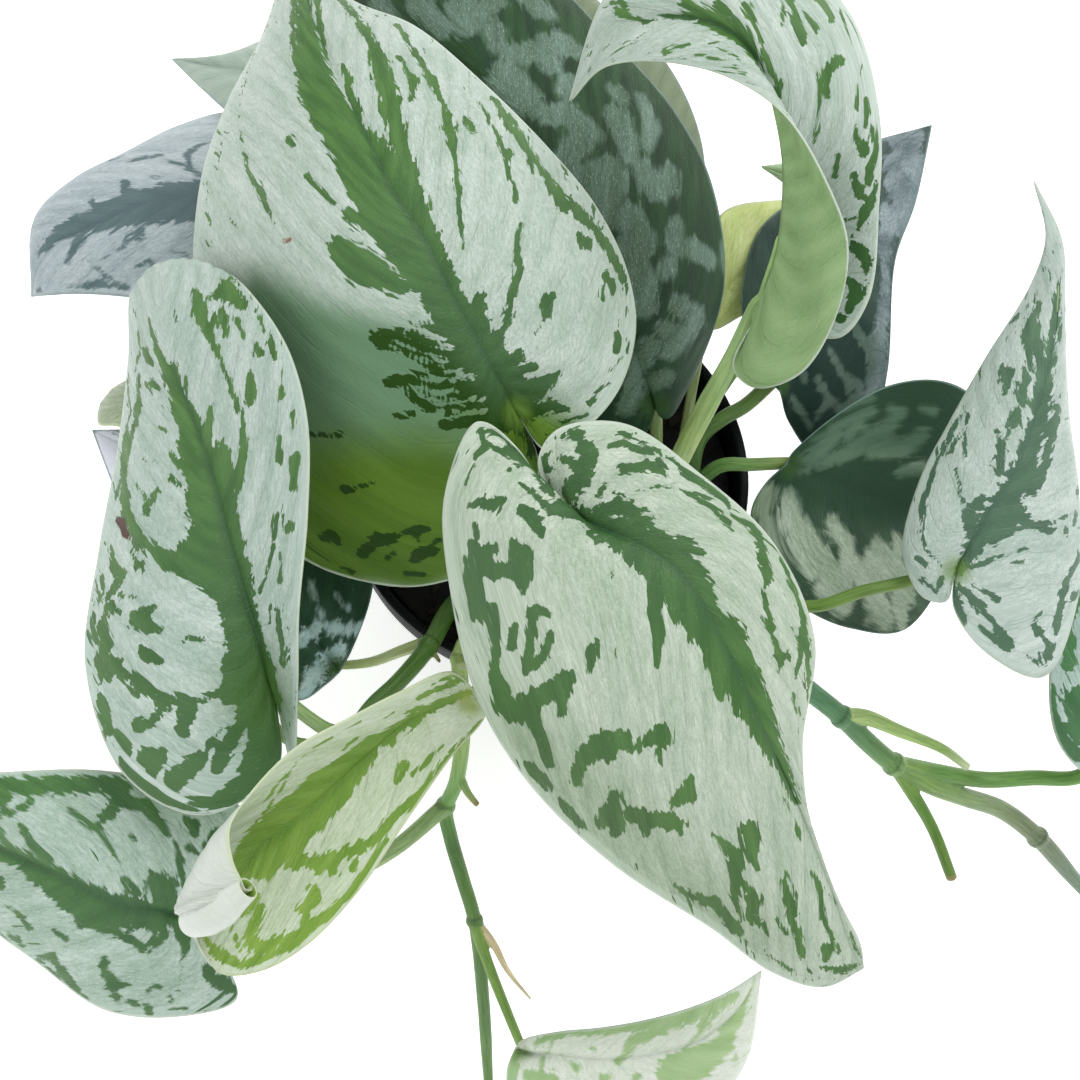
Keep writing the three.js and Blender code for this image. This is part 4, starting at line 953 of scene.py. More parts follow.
leafYoung = {
    "finish": "young",
    "seed": 4,
    "rows": 20,
    "columns": 34,
    "look": {"underVeins": 0.02, "under": ("#e3e9e3", "#d3ddd0"), "green": ("#769f34", "#92b44c"),
             "silver": ("#ebf4e3", "#d6e6c8")},
    "ribs": [
        [(-15,-67,124)],
        [(-14,-70,121), (-17,-70,122), (-21,-68,124), (-21,-65,126), (-21,-62,129)],
        [(-22,-79,116), (-27,-76,118), (-32,-72,121), (-32,-70,126), (-33,-68,134)],
        [(-32,-93,113), (-36,-86,115), (-41,-79,118), (-43,-77,126), (-44,-75,138)],
        [(-42,-108,112), (-46,-98,113), (-50,-87,116), (-52,-83,124), (-54,-81,139)],
        [(-53,-120,112), (-56,-107,112), (-58,-94,115), (-62,-90,122), (-63,-90,138)],
        [(-63,-126,112), (-64,-114,112), (-65,-99,114), (-74,-99,120), (-68,-98,137)],
        [(-72,-127,113), (-71,-117,113), (-70,-106,114), (-79,-107,121), (-67,-105,137)],
        [(-76,-123,115), (-76,-118,115), (-76,-112,116), (-81,-113,122), (-65,-109,137)],
        [(-77,-119,120), (-79,-117,120), (-79,-115,121), (-76,-114,131), (-64,-111,136)],
        [(-69,-117,131), (-69,-116,132), (-69,-115,133), (-67,-113,134), (-63,-111,135)],
        [(-63,-110,134)],
    ],
    "marks": [
        (35,65,19, 112,17,24, 200,7,48, 255,20,76, 360,14,129, 488,0,129, 545,-5,114, 602,1,71),
        (472,-25,43, 415,-46,33, 330,-74,24, 290,-79,27, 225,-98,26, 185,-100,26, 108,-97,10),
        (232,-45,26, 252,-53,21), (230,-65,14, 170,-71,10), (432,-65,21, 432,-72,30, 455,-72,26),
        (392,-65,21, 398,-55,16), (418,-51,21, 420,-46,14), (365,-77,16, 358,-74,11), (442,-57,8, 435,-61,8),
        (150,29,26, 180,46,11), (200,62,9, 218,64,7), (270,57,16, 300,51,11),
        (252,84,7, 300,86,8, 335,85,10, 380,81,10, 430,71,12, 460,60,16), (402,72,7, 440,54,10, 472,42,10),
        (555,-43,28, 578,-67,35, 552,-78,40, 460,-89,21),
        (682,-77,28, 600,-89,21, 558,-89,23, 498,-91,21, 382,-95,21, 305,-92,16), (633,-49,9, 602,-74,8),
        (735,-58,14, 708,-73,16), (568,-32,28, 605,-39,19), (458,-84,24, 452,-79,19),
        (155,65,16, 118,59,20, 65,96,18), (130,80,9, 88,92,11),
    ],
}
addRoll(makeLeaf("leaf_young", leafYoung), youngRoll)

leafLowLeft = {
    "finish": "silver",
    "seed": 5,
    "rows": 18,
    "columns": 30,
    "look": {"soft": 0.4, "green": ("#3f7130", "#588b41"), "silver": ("#d9ebe2", "#b7d0bf")},
    "ribs": [
        [(-86,-111,78)],
        [(-78,-122,76), (-81,-117,78), (-89,-111,79), (-80,-105,83), (-72,-99,84)],
        [(-76,-130,70), (-84,-121,77), (-94,-110,81), (-82,-101,87), (-73,-87,87)],
        [(-92,-134,66), (-97,-121,76), (-103,-109,82), (-94,-95,89), (-87,-81,89)],
        [(-110,-132,64), (-111,-118,76), (-114,-104,82), (-110,-91,89), (-109,-77,89)],
        [(-127,-121,64), (-126,-110,75), (-127,-98,80), (-129,-88,87), (-132,-77,87)],
        [(-144,-109,62), (-142,-100,71), (-142,-91,75), (-145,-84,80), (-151,-77,80)],
        [(-168,-79,66)],
    ],
    "marks": [
        (798,-1,56, 720,3,60, 578,-10,98, 495,-10,98, 400,-3,85, 175,5,47),
        (735,85,39, 672,84,47, 560,89,47, 530,85,51), (750,51,26, 710,57,17, 682,67,26),
        (705,40,21, 692,24,34, 658,13,38), (775,24,39, 752,15,26), (545,91,43, 530,78,38, 558,52,25),
        (615,63,13, 552,49,21, 478,28,7), (458,20,25, 405,14,34), (512,76,26, 482,76,30, 418,60,17),
        (392,56,10, 360,47,21, 328,36,21, 262,27,17), (345,30,25, 312,31,17), (488,51,13, 478,50,13),
        (362,58,17, 340,57,17), (398,74,21, 372,69,25, 378,77,17), (332,64,13, 330,79,17),
        (305,56,25, 248,47,25), (805,-65,9, 762,-58,22, 732,-64,30, 730,-71,9), (780,-90,22, 758,-90,35),
        (805,-98,18, 778,-100,18), (660,-53,17, 635,-53,19),
        (725,-100,18, 668,-77,26, 675,-84,26, 648,-89,44, 630,-96,26, 602,-96,17), (708,-100,26, 670,-98,26),
        (540,-56,19, 552,-64,19, 532,-74,47, 538,-86,30), (520,-76,26, 492,-73,10), (508,-88,19, 495,-89,17),
        (472,-92,26, 475,-96,17), (462,-78,9, 442,-71,13, 428,-74,9), (418,-86,19, 412,-83,13),
        (395,-93,13, 432,-94,9), (592,-31,30, 488,-28,26, 415,-39,21), (380,-14,38, 330,-12,47, 262,-6,38),
        (388,-31,26, 332,-22,26), (248,-24,26, 295,-35,17, 392,-77,8), (292,-57,17, 290,-76,51, 245,-100,30),
        (375,-81,7, 332,-83,7), (378,25,58, 295,13,73, 245,-14,49), (700,0,50, 950,0,15),
        (800,-40,40, 840,-50,30), (820,40,40, 870,35,30), (730,70,40, 790,65,30), (880,-22,25, 910,-26,20),
    ],
}
makeLeaf("leaf_low_left", leafLowLeft)

leafBackDark = {
    "finish": "shaded",
    "seed": 6,
    "rows": 18,
    "columns": 34,
    "spread": 1.2,
    "look": {"soft": 1.1},
    "ribs": [
        [(26,3,126)],
        [(19,-3,122), (23,-2,124), (25,6,127), (28,1,126), (30,4,124)],
        [(11,-3,118), (16,3,125), (22,12,131), (31,13,130), (39,21,122)],
        [(1,8,118), (10,13,129), (18,22,135), (32,29,132), (44,40,122)],
        [(-14,30,118), (0,33,131), (10,41,139), (26,50,135), (41,66,124)],
        [(-31,58,118), (-14,58,133), (0,63,141), (16,73,137), (32,85,126)],
        [(-45,89,121), (-28,86,134), (-14,88,140), (2,95,136), (17,104,127)],
        [(-53,122,122), (-39,119,131), (-27,117,136), (-16,124,133), (-5,129,126)],
        [(-39,149,120)],
    ],
    "marks": [
        (838,-27,42, 825,-27,35, 805,-22,35), (828,5,70, 808,1,63, 820,32,28), (790,17,35, 770,13,21),
        (755,18,42, 752,38,56, 758,59,56, 740,65,28), (762,47,35, 730,39,35), (740,8,41, 710,9,55, 680,10,41),
        (728,-3,27, 688,7,34), (705,43,28, 690,35,21),
        (665,15,34, 662,28,41, 628,31,55, 602,5,47, 575,14,67, 570,32,68), (635,57,48, 602,54,41, 580,50,27),
        (668,69,28, 655,67,17), (652,82,14, 608,76,28, 585,65,17), (562,32,61, 535,18,47, 512,20,27),
        (560,56,41, 535,56,61, 517,59,20), (540,73,28, 525,67,41),
        (508,33,61, 478,34,67, 462,17,60, 422,22,73, 390,18,53), (472,63,20, 448,57,47, 425,74,41, 408,83,34),
        (430,47,27, 420,40,20), (295,17,33, 262,2,33), (362,48,40, 328,70,27, 280,39,33),
        (328,30,20, 320,41,20), (255,-9,27, 220,-19,29, 222,-37,20), (412,100,11, 385,100,14),
        (195,9,20, 228,37,13), (840,-30,60, 890,-20,50), (840,30,60, 900,20,40), (800,62,50, 850,55,40),
        (910,-45,30, 950,-30,30), (800,-62,50, 850,-68,40),
    ],
}
makeLeaf("leaf_back_dark", leafBackDark)

leafCurled = {
    "finish": "silver",
    "seed": 7,
    "rows": 20,
    "columns": 34,
    "look": {"under": ("#98bd7c", "#abca92"), "underVeins": 0.2},
    "ribs": [
        [(47,15,150)],
        [(42,4,149), (45,9,149), (49,18,154), (54,15,157), (58,6,161)],
        [(46,-3,153), (48,6,156), (51,23,159), (58,18,163), (64,4,165)],
        [(55,-4,164), (55,9,165), (52,28,165), (62,25,170), (69,10,171)],
        [(61,4,177), (57,15,178), (52,33,173), (63,34,178), (71,28,178)],
        [(62,14,187), (57,24,187), (51,37,182), (62,44,187), (71,47,184)],
        [(57,22,197), (53,30,195), (49,42,189), (58,55,194), (65,69,189)],
        [(48,35,203), (47,40,200), (46,49,194), (48,63,198), (51,82,192)],
        [(37,46,200), (38,50,199), (39,59,196), (37,70,198), (34,87,191)],
        [(23,55,192), (24,58,192), (27,66,192), (22,74,192), (19,85,187)],
        [(12,60,182), (13,62,182), (14,67,183), (12,71,183), (11,74,182)],
        [(5,59,170)],
    ],
    "marks": [
        (880,62,11, 878,31,20, 855,-2,9), (868,50,14, 868,34,17),
        (855,-5,7, 825,3,14, 798,-1,19, 772,7,38, 748,4,59, 722,0,59, 692,-2,32, 660,-23,13),
        (790,20,22, 778,9,32, 755,7,32), (745,24,21, 732,17,21), (695,35,21, 662,19,11),
        (692,18,11, 652,-4,13), (660,12,10, 590,10,14), (652,-20,21, 600,4,16, 580,7,9),
        (890,-28,6, 862,-29,5, 838,-13,5), (900,-43,4, 850,-31,5), (810,-61,13, 782,-42,6),
        (772,-56,6, 750,-59,8, 728,-50,5), (748,-35,5, 715,-38,6), (738,-68,5, 698,-59,4),
        (630,59,11, 625,42,6), (623,64,16, 595,47,27, 585,41,11), (595,62,9, 575,58,16),
        (580,81,33, 565,78,27, 562,71,11), (560,91,8, 550,85,13, 520,80,7), (530,53,24, 520,63,18),
        (525,58,21, 525,46,27, 517,40,18, 500,41,13), (540,37,5, 503,32,13, 445,24,8),
        (500,85,8, 485,75,5, 462,69,9), (468,82,16, 455,81,22, 438,76,9), (435,66,13, 420,67,22, 410,79,24),
        (438,86,16, 415,89,20, 392,81,24, 378,85,16), (408,46,8, 375,44,11),
        (378,66,16, 360,71,22, 358,85,22), (382,92,13, 352,86,22, 325,78,19), (315,62,9, 325,71,13),
        (295,71,19, 298,83,27, 290,91,22), (250,81,17, 255,91,35, 220,90,30), (198,89,24, 352,-100,16),
        (578,83,16, 590,78,16), (650,82,40, 680,91,30), (760,66,40, 800,80,30), (840,52,30, 860,70,30),
    ],
}
makeLeaf("leaf_curled", leafCurled)

leafRightUpper = {
    "finish": "shaded",
    "seed": 8,
    "spread": 0.3,
    "look": {"silver": ("#b6c6cb", "#71868c"), "green": ("#3b504a", "#4e645e"),
             "shade": ("#62786c", "#4e6358", "#203a32"), "dusk": "#627872", "soft": 0.8},
    "ribs": [
        [(59,17,104)],
        [(55,20,108), (58,19,107), (61,23,104), (63,17,98), (63,13,92)],
        [(50,31,110), (56,29,109), (65,32,106), (70,23,97), (71,8,83)],
        [(50,44,110), (58,42,110), (70,44,107), (79,37,95), (87,17,79)],
        [(55,60,108), (64,56,110), (75,58,107), (83,53,97), (91,31,84)],
        [(67,73,104), (73,71,107), (81,73,106), (88,68,100), (93,59,93)],
        [(82,89,98), (85,88,101), (91,87,101), (95,85,99), (99,75,95)],
        [(106,101,92)],
    ],
    "marks": [
        (912,-35,55, 882,15,45), (910,36,27, 918,83,37, 875,89,45, 825,95,54, 770,94,45),
        (828,29,45, 798,49,45, 800,74,45, 708,76,27),
        (672,76,18, 645,86,27, 595,85,36, 555,82,45, 530,95,63, 505,100,36),
        (517,76,36, 482,84,45, 445,88,45, 388,83,53, 355,84,44), (280,49,17, 320,70,21, 273,76,18),
        (360,60,18, 412,78,21), (135,44,12, 248,83,12), (960,-18,38, 882,59,54, 805,70,64),
        (748,57,42, 685,73,53), (608,81,37, 532,90,43, 475,100,37), (915,-12,22, 835,38,27),
        (460,54,21, 488,76,32, 495,92,32), (300,67,16, 400,91,26, 448,100,21), (208,11,13, 225,38,13),
        (345,41,16, 372,64,21, 380,76,13), (305,4,13, 370,14,13), (478,37,16, 480,52,21),
    ],
    # painted shade over its lower-left part
    "shade": [(105,51,77, 278,47,129, 408,57,115), (220,85,104, 345,77,79)],
}
makeLeaf("leaf_right_upper", leafRightUpper)

leafRightLower = {
    "finish": "shaded",
    "seed": 9,
    "spread": -0.2,
    "look": {"silver": ("#d0dfcd", "#a9bda5"), "green": ("#36513b", "#4c6b4e"), "soft": 1.3,
             "shade": ("#627f69", "#4c6756", "#2f4b38"), "dusk": "#536f5c"},
    "ribs": [
        [(60,-2,102)],
        [(62,1,103), (63,0,102), (65,-2,98), (59,-6,98), (55,-6,98)],
        [(73,11,102), (73,6,99), (71,-3,93), (60,-13,94), (52,-12,93)],
        [(88,21,98), (86,11,93), (79,-4,86), (65,-20,88), (55,-26,86)],
        [(103,25,92), (98,11,86), (89,-4,78), (76,-24,80), (67,-33,78)],
        [(114,23,84), (109,8,78), (100,-5,70), (88,-24,71), (80,-36,70)],
        [(122,13,74), (118,0,68), (112,-8,62), (103,-22,62), (96,-34,62)],
        [(115,-8,56)],
    ],
    "marks": [
        (288,-57,51, 230,-38,60, 150,-27,43), (355,-64,43, 332,-50,52), (442,-46,35, 475,-65,44, 438,-72,26),
        (432,-31,52, 517,-38,53, 572,-54,44), (558,-23,44, 615,-31,45), (530,-74,14, 575,-74,26),
        (170,81,51, 260,84,51), (210,38,51, 310,43,77, 495,54,69), (445,22,52, 540,30,53, 582,51,88),
        (625,24,53, 672,31,89, 658,47,80), (700,23,45, 740,43,63), (788,63,72, 828,86,45),
        (768,82,36, 738,87,18), (558,69,52, 630,75,35), (288,76,51, 402,79,66, 517,99,67),
        (342,34,36, 505,48,77, 638,73,88), (580,38,52, 708,58,84, 782,82,64), (660,24,37, 765,41,43),
        (128,3,25, 355,-31,51, 452,-59,36), (268,-71,35, 382,-74,41), (630,34,63, 735,42,80, 802,58,69),
        (680,18,42, 755,28,53), (315,-100,25, 380,-96,31), (348,-59,31, 478,-42,26), (210,-75,20, 295,-66,20),
    ],
    # painted shade over its upper half
    "shade": [
        (182,-100,50, 335,-55,102, 485,-60,130, 592,-68,105), (132,-14,25, 355,-7,67, 525,-9,79, 613,-13,53),
        (335,-100,51, 462,-85,52, 582,-88,52),
    ],
}
makeLeaf("leaf_right_lower", leafRightLower)

leafRightTall = {
    "finish": "silver",
    "seed": 10,
    "rows": 20,
    "columns": 30,
    "look": {"green": ("#4b7052", "#618863"), "deep": "#426551", "silver": ("#e6f1ec", "#cbddd3")},
    "ribs": [
        [(95,-37,122)],
        [(93,-43,121), (93,-41,122), (96,-34,123), (96,-41,122), (95,-45,120)],
        [(88,-42,120), (91,-36,123), (99,-30,126), (101,-40,121), (104,-54,113)],
        [(84,-31,120), (90,-29,125), (103,-23,129), (109,-36,122), (118,-58,108)],
        [(89,-13,121), (97,-14,127), (108,-15,132), (118,-24,124), (127,-40,110)],
        [(96,0,124), (103,-3,130), (113,-4,134), (121,-8,128), (128,-16,116)],
        [(105,15,128), (109,11,133), (117,8,136), (121,5,132), (125,1,124)],
        [(116,32,132), (118,29,134), (121,25,136), (123,25,134), (124,24,130)],
        [(121,45,133), (121,44,134), (123,44,134), (124,44,133), (125,44,132)],
        [(121,63,128)],
    ],
    "marks": [
        (820,6,9, 672,0,30, 598,7,41, 448,10,62, 235,5,53, 102,15,21),
        (765,-49,13, 718,-43,29, 670,-21,23, 552,-17,21), (792,-7,18, 725,21,14), (660,-55,22, 642,-47,23),
        (725,-86,11, 735,-88,7), (638,-32,13, 615,-29,9), (545,-33,9, 510,-22,20, 442,-11,18),
        (372,-14,27, 340,-18,30, 240,-2,36), (455,-56,7, 388,-32,12), (572,-76,13, 538,-70,11, 480,-52,7),
        (545,-76,7, 495,-74,11), (538,-86,9, 482,-85,15, 402,-83,18, 378,-72,13),
        (360,-68,5, 312,-59,7, 220,-43,5), (300,-72,14, 245,-58,11), (250,-80,13, 165,-70,9, 178,-48,14),
        (582,25,27, 542,20,23), (655,46,9, 562,25,18), (458,10,53, 442,23,36),
        (388,22,44, 352,24,44, 298,19,39), (380,23,36, 402,38,27, 432,53,23, 482,66,7),
        (465,67,14, 460,69,11), (512,83,18, 488,76,9), (332,45,7, 362,51,9), (138,15,18, 252,32,9),
        (178,41,7, 268,60,14), (28,98,16, 105,79,27, 150,97,13), (200,82,9, 270,90,16), (242,73,9, 280,87,18),
        (332,75,18, 370,78,13), (342,81,18, 358,91,31, 342,96,22), (305,90,11, 330,95,14),
        (478,91,27, 435,83,27, 405,84,27, 355,97,15), (735,-41,25, 668,-7,32, 580,-2,27),
        (660,-41,15, 620,-41,15), (582,-24,15, 525,-19,12), (608,33,32, 508,27,34, 452,24,29),
        (125,15,12, 283,34,11, 370,45,12), (120,43,22, 245,75,20, 280,88,15), (342,78,10, 330,97,10),
        (365,30,17, 452,55,12), (415,-83,11, 510,-88,12, 572,-88,10), (355,-67,10, 402,-77,11),
        (462,-22,7, 525,-27,9), (678,-100,10, 705,-100,9), (180,58,10, 198,72,11),
    ],
}
makeLeaf("leaf_right_tall", leafRightTall)

leafRightEdge = {
    "finish": "silver",
    "seed": 11,
    "arch": 2.5,
    "look": {"green": ("#5c9663", "#74b077"), "silver": ("#e0f0ee", "#c6deda")},
    "ribs": [
        [(144,-73,66)],
        [(140,-74,66), (145,-69,67), (151,-75,64)],
        [(133,-66,66), (147,-63,70), (161,-73,63)],
        [(131,-52,68), (150,-51,74), (169,-59,62)],
        [(135,-34,70), (154,-35,77), (174,-39,63)],
        [(143,-18,72), (158,-20,78), (175,-22,66)],
        [(155,-2,72), (163,-4,75), (174,-7,68)],
        [(172,13,68)],
    ],
    "marks": [
        (630,-90,20, 560,-90,34, 480,-81,40), (435,-95,24, 370,-95,30, 298,-91,40, 240,-84,49),
        (412,-69,39, 342,-66,59), (425,-86,16, 345,-76,26, 302,-68,30),
        (80,0,60, 250,2,70, 450,0,60, 650,-2,40, 840,0,15), (300,-32,30, 260,-45,30), (450,35,30, 400,50,30),
        (550,-35,30, 500,-50,25), (660,30,25, 610,42,20), (750,-28,20, 720,-38,20), (380,62,25, 340,76,20),
        (220,40,40, 180,58,30), (550,66,20, 510,78,20), (800,34,20, 770,46,15),
    ],
}
makeLeaf("leaf_right_edge", leafRightEdge)

leafFarLeft = {
    "finish": "grey",
    "seed": 12,
    "arch": 2,
    "ribs": [
        [(-74,73,108)],
        [(-73,64,104), (-78,73,109), (-76,90,102)],
        [(-80,47,100), (-82,71,111), (-86,103,95)],
        [(-93,44,97), (-91,69,111), (-100,99,95)],
        [(-109,47,96), (-105,68,108), (-114,90,96)],
        [(-123,49,94), (-119,65,102), (-127,82,96)],
        [(-133,50,91), (-131,62,95), (-138,73,91)],
        [(-139,53,84)],
    ],
    "marks": [
        (898,22,14, 852,12,27, 785,11,50, 658,0,90, 517,-3,112, 425,-6,116, 322,-10,116),
        (590,-41,22, 550,-35,27), (758,-53,14, 732,-18,32), (615,-50,11, 588,-45,18), (682,32,18, 682,22,18),
        (588,38,23, 595,21,27, 568,15,27), (568,72,9, 492,58,23), (478,53,9, 390,18,20),
        (418,31,20, 418,48,20, 378,55,18, 338,56,9), (522,32,9, 485,26,9), (560,-70,13, 522,-63,18),
        (470,-54,11, 435,-55,11), (762,-90,7, 660,-87,24, 578,-90,14), (678,-67,9, 652,-71,14, 638,-79,18),
        (623,-83,20, 610,-87,14), (705,-58,5, 628,-56,4), (613,96,16, 575,90,9), (880,-88,18, 915,-87,9),
    ],
}
makeLeaf("leaf_far_left", leafFarLeft)

leafFrontLow = {
    "finish": "silver",
    "seed": 13,
    "arch": 2,
    # colours lightened far past the other silver leaves: painted light, for the strong light washing over
    # this low leaf
    "look": {"green": ("#a8c78c", "#c0d9a6"), "deep": "#96bd7e", "silver": ("#fcfefa", "#edf6e8"),
             "soft": 0.6},
    "ribs": [
        [(-8,-141,44)],
        [(-6,-139,45), (-4,-142,44), (-10,-147,43)],
        [(3,-137,47), (4,-143,46), (-8,-156,40)],
        [(14,-136,49), (15,-144,47), (6,-163,38)],
        [(26,-134,49), (26,-143,47), (24,-163,38)],
        [(37,-131,48), (38,-140,46), (40,-157,38)],
        [(47,-127,44), (48,-133,43), (52,-144,38)],
        [(57,-121,38)],
    ],
    "marks": [
        (202,-67,14, 252,-87,23, 328,-93,27, 432,-90,27, 680,-83,46, 775,-80,41, 872,-80,28),
        (610,-72,32, 510,-57,27, 498,-26,23, 470,3,18), (742,-62,37, 725,-38,14),
        (968,-96,9, 880,12,25, 788,24,55, 722,24,82, 645,26,100), (675,2,9, 712,-27,11, 762,-43,9),
        (18,-24,23, 125,68,37, 182,84,32), (273,35,20, 220,7,12, 265,-68,11), (235,44,32, 320,32,32),
        (332,7,14, 355,12,23), (290,-13,11, 290,-8,11), (395,-50,15, 398,-44,11), (448,21,32, 460,17,23),
        (535,23,18, 545,19,18), (820,53,14, 818,61,14), (300,60,40, 350,76,30), (450,50,50, 500,66,30),
        (580,80,30, 620,86,30), (400,86,30, 440,92,20), (650,50,40, 700,60,30),
    ],
}
makeLeaf("leaf_front_low", leafFrontLow)

leafUnderLeft = {
    "finish": "shaded",
    "seed": 14,
    "arch": 2,
    # colours lightened against the shade this leaf lies in: painted light
    "look": {"silver": ("#e6fafe", "#bcdae2"), "green": ("#2c523f", "#437052"), "dusk": "#f0f4ff"},
    "gloom": [],
    "ribs": [
        [(-51,-53,92)],
        [(-55,-56,90), (-54,-50,93), (-48,-46,91)],
        [(-61,-59,87), (-58,-44,94), (-44,-32,90)],
        [(-71,-56,86), (-65,-35,95), (-44,-17,90)],
        [(-83,-44,87), (-74,-22,95), (-56,-2,90)],
        [(-97,-25,88), (-86,-10,93), (-74,10,89)],
        [(-110,-6,86), (-100,3,89), (-94,13,87)],
        [(-120,15,82)],
    ],
    "marks": [
        (318,-20,32, 290,12,32), (262,27,32, 212,62,32, 202,95,22),
        (150,50,32, 148,0,37, 220,-62,43, 275,-93,32), (340,23,11, 310,23,11), (418,28,13, 368,25,9),
        (342,47,9, 273,63,9), (975,-69,69, 930,-100,79, 882,-100,62), (958,-4,53, 902,-76,52),
    ],
    # painted light: these shade strokes paint the left end in the pale dusk colour
    "shade": [(998,100,32, 950,-100,68, 888,-100,68)],
}
makeLeaf("leaf_under_left", leafUnderLeft)

leafFarLeftTip = {
    "finish": "grey",
    "seed": 15,
    "arch": 1.5,
    "turned": True,
    "ribs": [
        [(-57,101,110)],
        [(-60,90,108), (-61,101,110), (-58,114,108)],
        [(-72,89,105), (-68,104,110), (-65,123,106)],
        [(-83,97,102), (-78,109,105), (-76,121,103)],
        [(-94,109,98), (-91,115,99), (-89,119,98)],
        [(-104,122,92)],
    ],
}
makeLeaf("leaf_far_left_tip", leafFarLeftTip)

leafBackPale = {
    "finish": "shaded",
    "seed": 16,
    "arch": 2,
    "turned": True,
    "ribs": [
        [(24,38,112)],
        [(19,35,108), (22,42,113), (29,39,110)],
        [(11,44,106), (20,51,115), (39,61,106)],
        [(4,65,104), (16,67,115), (42,80,104)],
        [(-2,90,102), (12,89,112), (39,99,103)],
        [(-6,116,100), (5,116,107), (30,119,101)],
        [(-7,142,96), (-1,143,99), (14,138,97)],
        [(-4,173,88)],
    ],
}
makeLeaf("leaf_back_pale", leafBackPale)

leafInnerYoung = {
    "finish": "young",
    "seed": 17,
    "arch": 1,
    # the pale yellow-green of a young leaf, lightened further against the shade it lies in: painted light
    "look": {"green": ("#b3cd54", "#cbde7a"), "silver": ("#f0f9ba", "#dae892"), "fleck": 1.0},
    "ribs": [
        [(40,36,104)],
        [(40,42,105), (43,38,104), (43,35,102)],
        [(41,55,108), (47,45,105), (50,39,101)],
        [(46,65,109), (54,52,106), (56,43,100)],
        [(59,71,104), (62,61,101), (65,53,95)],
        [(73,78,90)],
    ],
}
makeLeaf("leaf_inner_young", leafInnerYoung)

leafHiddenLeft = {
    "finish": "young",
    "seed": 18,
    "arch": 1,
    "look": {"silver": ("#c9d6bb", "#b5c3a3"), "green": ("#9fb285", "#b0c196")},
    "ribs": [
        [(-90,8,101)],
        [(-91,2,101), (-93,9,102), (-91,14,101)],
        [(-99,3,98), (-97,12,101), (-96,21,99)],
        [(-109,10,97), (-105,17,99), (-102,25,96)],
        [(-115,12,94), (-113,17,95), (-111,24,92)],
        [(-116,19,91)],
    ],
}
makeLeaf("leaf_hidden_left", leafHiddenLeft)

leafInnerTip = {
    "finish": "young",
    "seed": 19,
    "arch": 0.8,
    "look": {"green": ("#6aa04f", "#84ba68"), "silver": ("#cbe4bb", "#accc96"), "margin": "#8fbd74",
             "fleck": 1.0},
    "ribs": [
        [(70,57,131)],
        [(68,53,131), (67,58,131), (69,64,128)],
        [(65,59,126), (63,63,127), (65,71,124)],
        [(60,66,122), (59,68,123), (60,72,121)],
        [(55,73,118)],
    ],
}
makeLeaf("leaf_inner_tip", leafInnerTip)


def lathe(name, profile, sides):
    piece, spots, turn = addSleeve(sides, profile)
    piece.name = name
    piece.data.name = name
    places = np.stack([spots[:, 0] * np.cos(turn), spots[:, 0] * np.sin(turn), spots[:, 1]], axis=1)
    movePoints(piece, places * mm)
    weldMesh(piece)
    return piece


# Points along a profile with each corner rounded by a short arc
def rounded(corners, reach, steps=3):
    corners = [np.array(corner, dtype=float) for corner in corners]
    path = [corners[0]]
    for before, corner, after in zip(corners, corners[1:], corners[2:]):
        back, on = before - corner, after - corner
        size = min(reach, np.linalg.norm(back) * 0.45, np.linalg.norm(on) * 0.45)
        enter = corner + back / np.linalg.norm(back) * size
        leave = corner + on / np.linalg.norm(on) * size
        for share in np.linspace(0, 1, steps + 1):
            path.append(enter * (1 - share) ** 2 + corner * 2 * share * (1 - share) + leave * share ** 2)
    return path + [corners[-1]]


# Cuts upright pegs out of a piece, at several places in mm
def cutPegs(piece, places, radius, height, sides):
    cutters = []
    for place in places:
        dropSelection()
        size = {"radius": radius * mm, "depth": height * mm}
        bpy.ops.mesh.primitive_cylinder_add(vertices=sides, location=[value * mm for value in place], **size)
        cutters.append(bpy.context.object)
        applyPlace(cutters[-1])
    cutter = joinPieces(cutters, "pegs")
    applyModifier(piece, "BOOLEAN", object=cutter, operation="DIFFERENCE", solver="EXACT")
    bpy.data.objects.remove(cutter, do_unlink=True)


pot = {    # mm
    "height": 88,
    "rimRadius": 52.5,
    "footRadius": 38,
    "wall": 1.4,
    "bandHeight": 11,
    "bandStep": 1.8,
    "lip": 2.6,
    "sides": 144,
    "drains": 8,
    "drainRadius": 4,
    "drainSides": 32,
    "drainCircle": 27,
    "corner": 0.8,
    "crease": 35,                # degrees
    "colors": ("#0b0d12", "#15171d"),
    "flow": (60, 60, 14),        # streaks of the moulding, in each metre
    "dust": "#5b554c",
    "dustGrain": (260.0, 4.0, 0.65),
    "dustRange": (0.5, 0.72),
    "dustShare": 0.05,
    "rough": (0.48, 0.62),
    "gloss": 0.12,
    "relief": (0.00006, 0.5),    # m, and strength
}


def potMaterial():
    material, tree, surface = newMaterial("potPlastic")
    space = objectSpace(tree)
    flow = noise(tree, stretched(tree, space, pot["flow"]), 1.0, 3.0)
    dust = window(tree, noise(tree, space, *pot["dustGrain"]), *pot["dustRange"])
    color = mixColor(tree, flow, *hues(pot["colors"]))
    color = tint(tree, color, dust, pot["dustShare"], hue(pot["dust"]))
    tree.links.new(color, surface.inputs["Base Color"])
    tree.links.new(window(tree, flow, 0.2, 0.8, *pot["rough"]), surface.inputs["Roughness"])
    skin = plus(tree, noise(tree, space, 900.0, 2.0), times(tree, flow, 2.0))
    tree.links.new(bumped(tree, skin, *pot["relief"]), surface.inputs["Normal"])
    surface.inputs["Specular IOR Level"].default_value = pot["gloss"]
    return material


